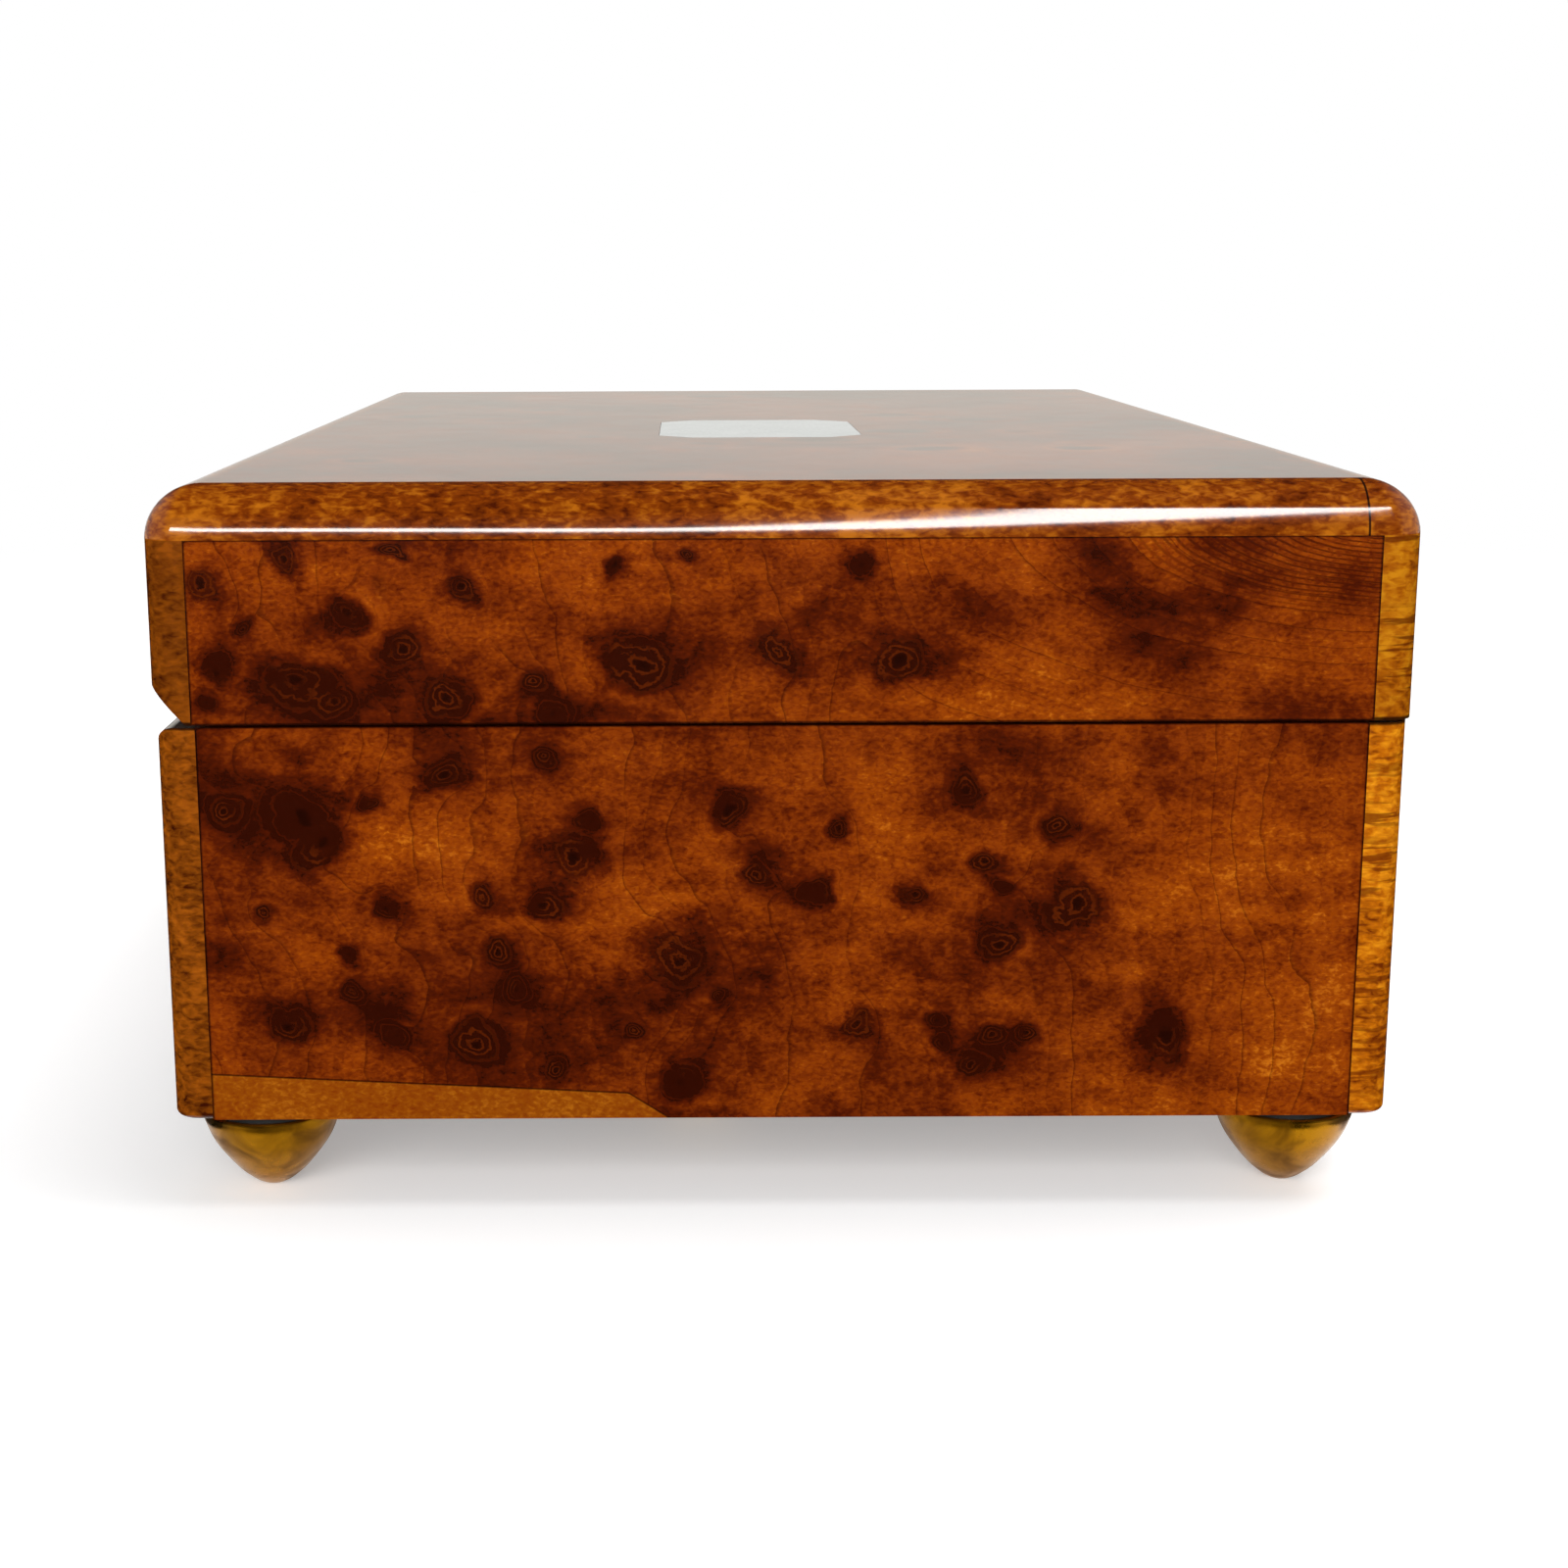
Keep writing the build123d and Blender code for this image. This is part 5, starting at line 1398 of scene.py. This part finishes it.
@dataclass
class Studio:
    """Floor, lamps, world and camera. The view is given in pixels of its frame, and the rest in metres."""

    photo_width: float = 1600.0
    focal_pixels: float = 2462.43
    centre_pixel: float = 700.44
    sensor: float = 36.0
    pitch: float = 0.2095
    roll: float = -0.0045
    drift: float = 0.0001
    place: TRIPLE = (-0.31798, 0.00913, 0.09110)
    floor_size: float = 16.0
    dome_radius: float = 3.0
    dome_rows: int = 14
    dome_columns: int = 48
    frame_inner: tuple[float, float] = (0.097, 0.065)
    frame_outer: tuple[float, float] = (1.1, 1.1)
    frame_lift: float = 0.001
    strip_back: float = -1.25
    strip_half: float = 0.066
    strip_radiance: float = 30.0

    def floor(self) -> None:
        """A pale floor that keeps the shadow and fades into the white background."""
        bpy.ops.mesh.primitive_plane_add(size=self.floor_size, location=(0.0, 0.0, 0.0))
        floor = bpy.context.object
        floor.name = "floor"
        g = Graph("floor_paint")
        coords = g.node("ShaderNodeTexCoord", {}, {})
        length = g.node("ShaderNodeVectorMath", {"operation": "LENGTH"}, {0: coords.outputs["Object"]})
        far = g.step(Term(g, length.outputs["Value"]), 0.2, 0.55)
        rays = g.node("ShaderNodeLightPath", {}, {})
        camera, glossy, through = (Term(g, rays.outputs[f"Is {kind} Ray"]) for kind in SEEN_BY)
        seen = g.maths("MAXIMUM", g.maths("MAXIMUM", camera, glossy), through)
        glow = g.node("ShaderNodeEmission", {}, {"Color": WHITE, "Strength": 1.0})
        g.set(Base_Color=(0.8, 0.8, 0.8), Roughness=0.9, Specular_IOR_Level=0.0)
        some = g.node("ShaderNodeEmission", {}, {"Color": WHITE, "Strength": seen * 0.3})
        near = g.node("ShaderNodeAddShader", {}, {0: g.shader.outputs[0], 1: some.outputs[0]})
        mixed = g.node("ShaderNodeMixShader", {}, {0: far * seen, 1: near.outputs[0], 2: glow.outputs[0]})
        g.link(mixed.outputs[0], g.output.inputs["Surface"])
        floor.data.materials.append(g.material)

    def mirrored(self, name: str, points: np.ndarray, faces: list) -> Graph:
        """A surface that only reflections see.

        Args:
            name: Its name.
            points: Its corners.
            faces: Its faces.

        Returns:
            Its material's graph, which glow() finishes.
        """
        mesh = bpy.data.meshes.new(name)
        mesh.from_pydata(np.asarray(points, float).tolist(), [], faces)
        card = bpy.data.objects.new(name, mesh)
        bpy.context.scene.collection.objects.link(card)
        g = Graph(f"{name}_paper")
        mesh.materials.append(g.material)
        card.visible_camera = False
        card.visible_diffuse = False
        card.visible_transmission = False
        card.visible_shadow = False
        card.visible_volume_scatter = False
        return g

    def glow(self, g: Graph, colour: object, strength: object) -> None:
        """Make a surface emit light and do nothing else.

        Args:
            g: Its material's graph.
            colour: A colour or its socket.
            strength: A number or a Term.
        """
        lit = g.node("ShaderNodeEmission", {}, {"Color": colour, "Strength": strength})
        g.link(lit.outputs[0], g.output.inputs["Surface"])

    def dome(self) -> None:
        """A dim tent: pale low down on the far side, soft at the sides and dark overhead along the box."""
        rows, columns = self.dome_rows, self.dome_columns
        lift = np.linspace(0.0, np.pi / 2 - 0.02, rows)[:, None]
        turn = np.linspace(0.0, 2 * np.pi, columns, endpoint=False)
        x, y, z = np.cos(lift) * np.cos(turn), np.cos(lift) * np.sin(turn), np.sin(lift) + 0 * turn
        points = np.stack([x, y, z], -1).reshape(-1, 3) * self.dome_radius
        cap = list(range((rows - 1) * columns, rows * columns))
        faces = grid_faces(rows, columns, True).tolist() + [cap]
        g = self.mirrored("dome", points, faces)
        height, along = g.axis(2), g.axis(0)
        aside = g.maths("ABSOLUTE", g.axis(1))
        pale = g.step(height, 0.52, 0.42) * g.step(along, 0.2, 1.2)
        sides = g.step(aside, 1.0, 2.1) * 0.55
        strength = g.maths("MAXIMUM", pale * 0.7, sides + 0.012)
        self.glow(g, g.mix(pale, WHITE, (1.0, 0.955, 0.87)), strength)

    def dark_floor(self) -> None:
        """A dark frame on the floor round the box, which keeps the lacquer's colour deep."""
        near, far = np.array(self.frame_inner), np.array(self.frame_outer)
        signs = np.array([(-1, -1), (1, -1), (1, 1), (-1, 1)])
        flat = np.vstack([signs * near, signs * far])
        points = np.column_stack([flat, np.full(8, self.frame_lift)])
        faces = [[i, 4 + i, 4 + (i + 1) % 4, (i + 1) % 4] for i in range(4)]
        self.glow(self.mirrored("dark_floor", points, faces), (0.0, 0.0, 0.0), 0.0)

    def window(self) -> None:
        """A bent strip of window light behind the camera that draws the line along the lipping."""
        low_part = [(0.42, 0.42), (0.229, 0.357), (0.095, 0.306), (-0.009, 0.31), (-0.077, 0.383)]
        high_part = [(-0.144, 0.555), (-0.242, 0.80), (-0.376, 1.27), (-0.5, 1.7)]
        line = smooth_curve(low_part + high_part, 5)
        slope = np.gradient(line, axis=0)
        square = np.column_stack([-slope[:, 1], slope[:, 0]]) / np.linalg.norm(slope, axis=1, keepdims=True)
        offset = square * self.strip_half * (1.0 + ((line[:, 1:] - 0.068) / 1.158) ** 2)
        back = np.full((len(line), 1), self.strip_back)
        low, high = np.hstack([back, line + offset]), np.hstack([back, line - offset])
        points = np.vstack([low, high])
        n = len(line)
        faces = [[i, i + 1, n + i + 1, n + i] for i in range(n - 1)]
        self.glow(self.mirrored("window_strip", points, faces), (1.0, 0.99, 0.97), self.strip_radiance)

    def lamp(self, name: str, place: TRIPLE, aim: TRIPLE, width: float, height: float, watts: float) -> None:
        """A rectangular soft lamp.

        Args:
            name: Its name.
            place: Where it hangs.
            aim: What it points at.
            width: Of its face.
            height: Of its face.
            watts: Its power.
        """
        data = bpy.data.lights.new(name, "AREA")
        data.shape = "RECTANGLE"
        data.size, data.size_y = width, height
        data.energy = watts
        lamp = bpy.data.objects.new(name, data)
        bpy.context.scene.collection.objects.link(lamp)
        away = Vector(aim) - Vector(place)
        lamp.matrix_world = Matrix.Translation(place) @ away.to_track_quat("-Z", "Y").to_matrix().to_4x4()
        lamp.visible_camera = False
        lamp.visible_glossy = False

    def world(self) -> None:
        """Grey light all round, seen as white."""
        world = bpy.data.worlds.new("studio_world")
        bpy.context.scene.world = world
        world.use_nodes = True
        tree = world.node_tree
        rays = tree.nodes.new("ShaderNodeLightPath")
        top = None
        for kind in SEEN_BY[1:]:
            larger = tree.nodes.new("ShaderNodeMath")
            larger.operation = "MAXIMUM"
            tree.links.new(top or rays.outputs["Is Camera Ray"], larger.inputs[0])
            tree.links.new(rays.outputs[f"Is {kind} Ray"], larger.inputs[1])
            top = larger.outputs[0]
        mix = tree.nodes.new("ShaderNodeMix")
        mix.data_type = "RGBA"
        tree.links.new(top, mix.inputs[0])
        mix.inputs[6].default_value = (0.42, 0.42, 0.42, 1.0)
        mix.inputs[7].default_value = (1.0, 1.0, 1.0, 1.0)
        tree.links.new(mix.outputs[2], tree.nodes["Background"].inputs["Color"])

    def camera(self) -> None:
        """The photograph's view of the left end: 12 degrees down, along the case."""
        pitch, roll = self.pitch, self.roll
        forward = Vector((math.cos(pitch), self.drift, -math.sin(pitch))).normalized()
        right = forward.cross(Vector((0.0, 0.0, 1.0))).normalized()
        up = right.cross(forward)
        turned_right = right * math.cos(roll) + up * math.sin(roll)
        turned_up = up * math.cos(roll) - right * math.sin(roll)
        data = bpy.data.cameras.new("photo_camera")
        data.sensor_width = self.sensor
        data.sensor_fit = "HORIZONTAL"
        data.lens = self.sensor * self.focal_pixels / self.photo_width
        data.shift_x = (self.photo_width / 2 - self.centre_pixel) / self.photo_width
        data.clip_start = 0.01
        camera = bpy.data.objects.new("photo_camera", data)
        bpy.context.scene.collection.objects.link(camera)
        basis = Matrix((turned_right, turned_up, -forward)).transposed().to_4x4()
        camera.matrix_world = Matrix.Translation(self.place) @ basis
        bpy.context.scene.camera = camera

    def build(self) -> None:
        """Set the stage."""
        self.camera()
        self.floor()
        self.world()
        self.dome()
        self.dark_floor()
        self.window()
        self.lamp("front_lamp", (-1.3, 0.3, 0.6), (0.0, 0.0, 0.04), 1.2, 0.8, 17.0)
        self.lamp("roof_lamp", (0.15, -0.5, 1.3), (0.0, 0.0, 0.0), 1.2, 1.2, 15.0)
        self.lamp("fill_lamp", (1.2, -0.7, 0.7), (0.0, 0.0, 0.03), 0.9, 0.9, 7.0)
        bpy.context.scene.view_settings.view_transform = "Standard"


def main() -> None:
    """Build the pieces in order and dress every node."""
    logging.basicConfig(level=logging.INFO, format="%(message)s")
    burl = BurlVeneer()
    drawn = burl.make("burl_drawn", Pattern.DRAWN)
    solid = burl.make("burl_solid", Pattern.SOLID)
    lipping = StripWood((0.05, 0.006, 0.0005), (0.16, 0.028, 0.0009), (0.36, 0.105, 0.004), joint=0.0549)
    strip = StripWood(
        (0.12, 0.018, 0.0007), (0.40, 0.105, 0.0016), (0.66, 0.25, 0.006),
        (0.034, 0.0042, 0.0004), (0.3, 0.074, 0.003), 0.8,
    )
    brass = Metal((0.40, 0.175, 0.004), (0.13, 0.05, 0.0015), 0.17, 0.85).make("aged_brass")
    polished = Metal((0.74, 0.48, 0.16), (0.45, 0.25, 0.07), 0.2, 0.16, (1.0, 0.2, 1.0))
    clock_brass = polished.make("clock_brass")
    steel = Metal((0.6, 0.6, 0.62), (0.3, 0.28, 0.27), 0.18, 0.25, (0.2, 1.0, 1.0)).make("bright_steel")
    velvet = Velvet().make("velvet")
    glass = Glass().make("plate_glass")
    wood = PlainSurface((0.24, 0.11, 0.04), (0.11, 0.042, 0.014), 0.45, 160.0, (0.15, 1.0, 1.0))
    inner = wood.make("inner_wood")
    casting = PlainSurface((0.05, 0.05, 0.052), (0.09, 0.088, 0.085), 0.5, 700.0).make("dark_casting")
    washer = PlainSurface((0.006, 0.006, 0.006), (0.014, 0.013, 0.012), 0.6, 800.0).make("black_washer")
    plate = PlainSurface((0.70, 0.72, 0.72), (0.58, 0.62, 0.62), 0.12, 170.0, WHITE, 0.5, 0.00001)
    inlay = plate.make("pale_inlay")

    Studio().build()
    DrawnPanels().build(drawn)
    Feet().build(brass)
    WindingKey().build(clock_brass)
    Tray().build(velvet)
    Movement().build(steel, casting)

    dress(solid, "case_back_panel", "lid_back_panel", "lid_top_panel")
    lips = (f"lid_{side}_lipping" for side in ("front", "back", "left", "right"))
    dress(lipping.make("lipping_wood"), *lips)
    dress(strip.make("strip_wood"), "case_corner_strips", "lid_corner_strips")
    dress(inner, "bottom_board", "compartment_divider", "glass_frame")
    dress(
        clock_brass,
        "hinge_case_leaves", "hinge_lid_leaves", "hinge_pins", "hinge_case_screws", "hinge_lid_screws",
        "bedplate", "left_bracket", "right_bracket", "barrel_bridge", "governor_cock", "music_cylinder",
        "governor_wheel", "spring_barrel", "barrel_cover", "worm_wheel", "fly_blades",
    )
    dress(
        steel,
        "movement_screws", "plate_screws", "comb", "comb_screws", "cylinder_arbor", "drive_pinion",
        "second_arbor", "fly_arbor", "winding_arbor", "ratchet_wheel", "click", "stop_wire", "mainspring",
    )
    dress(casting, "comb_base")
    dress(washer, "foot_washers")
    dress(glass, "glass_pane")
    dress(inlay, "lid_inlay")


if __name__ == "__main__":
    main()
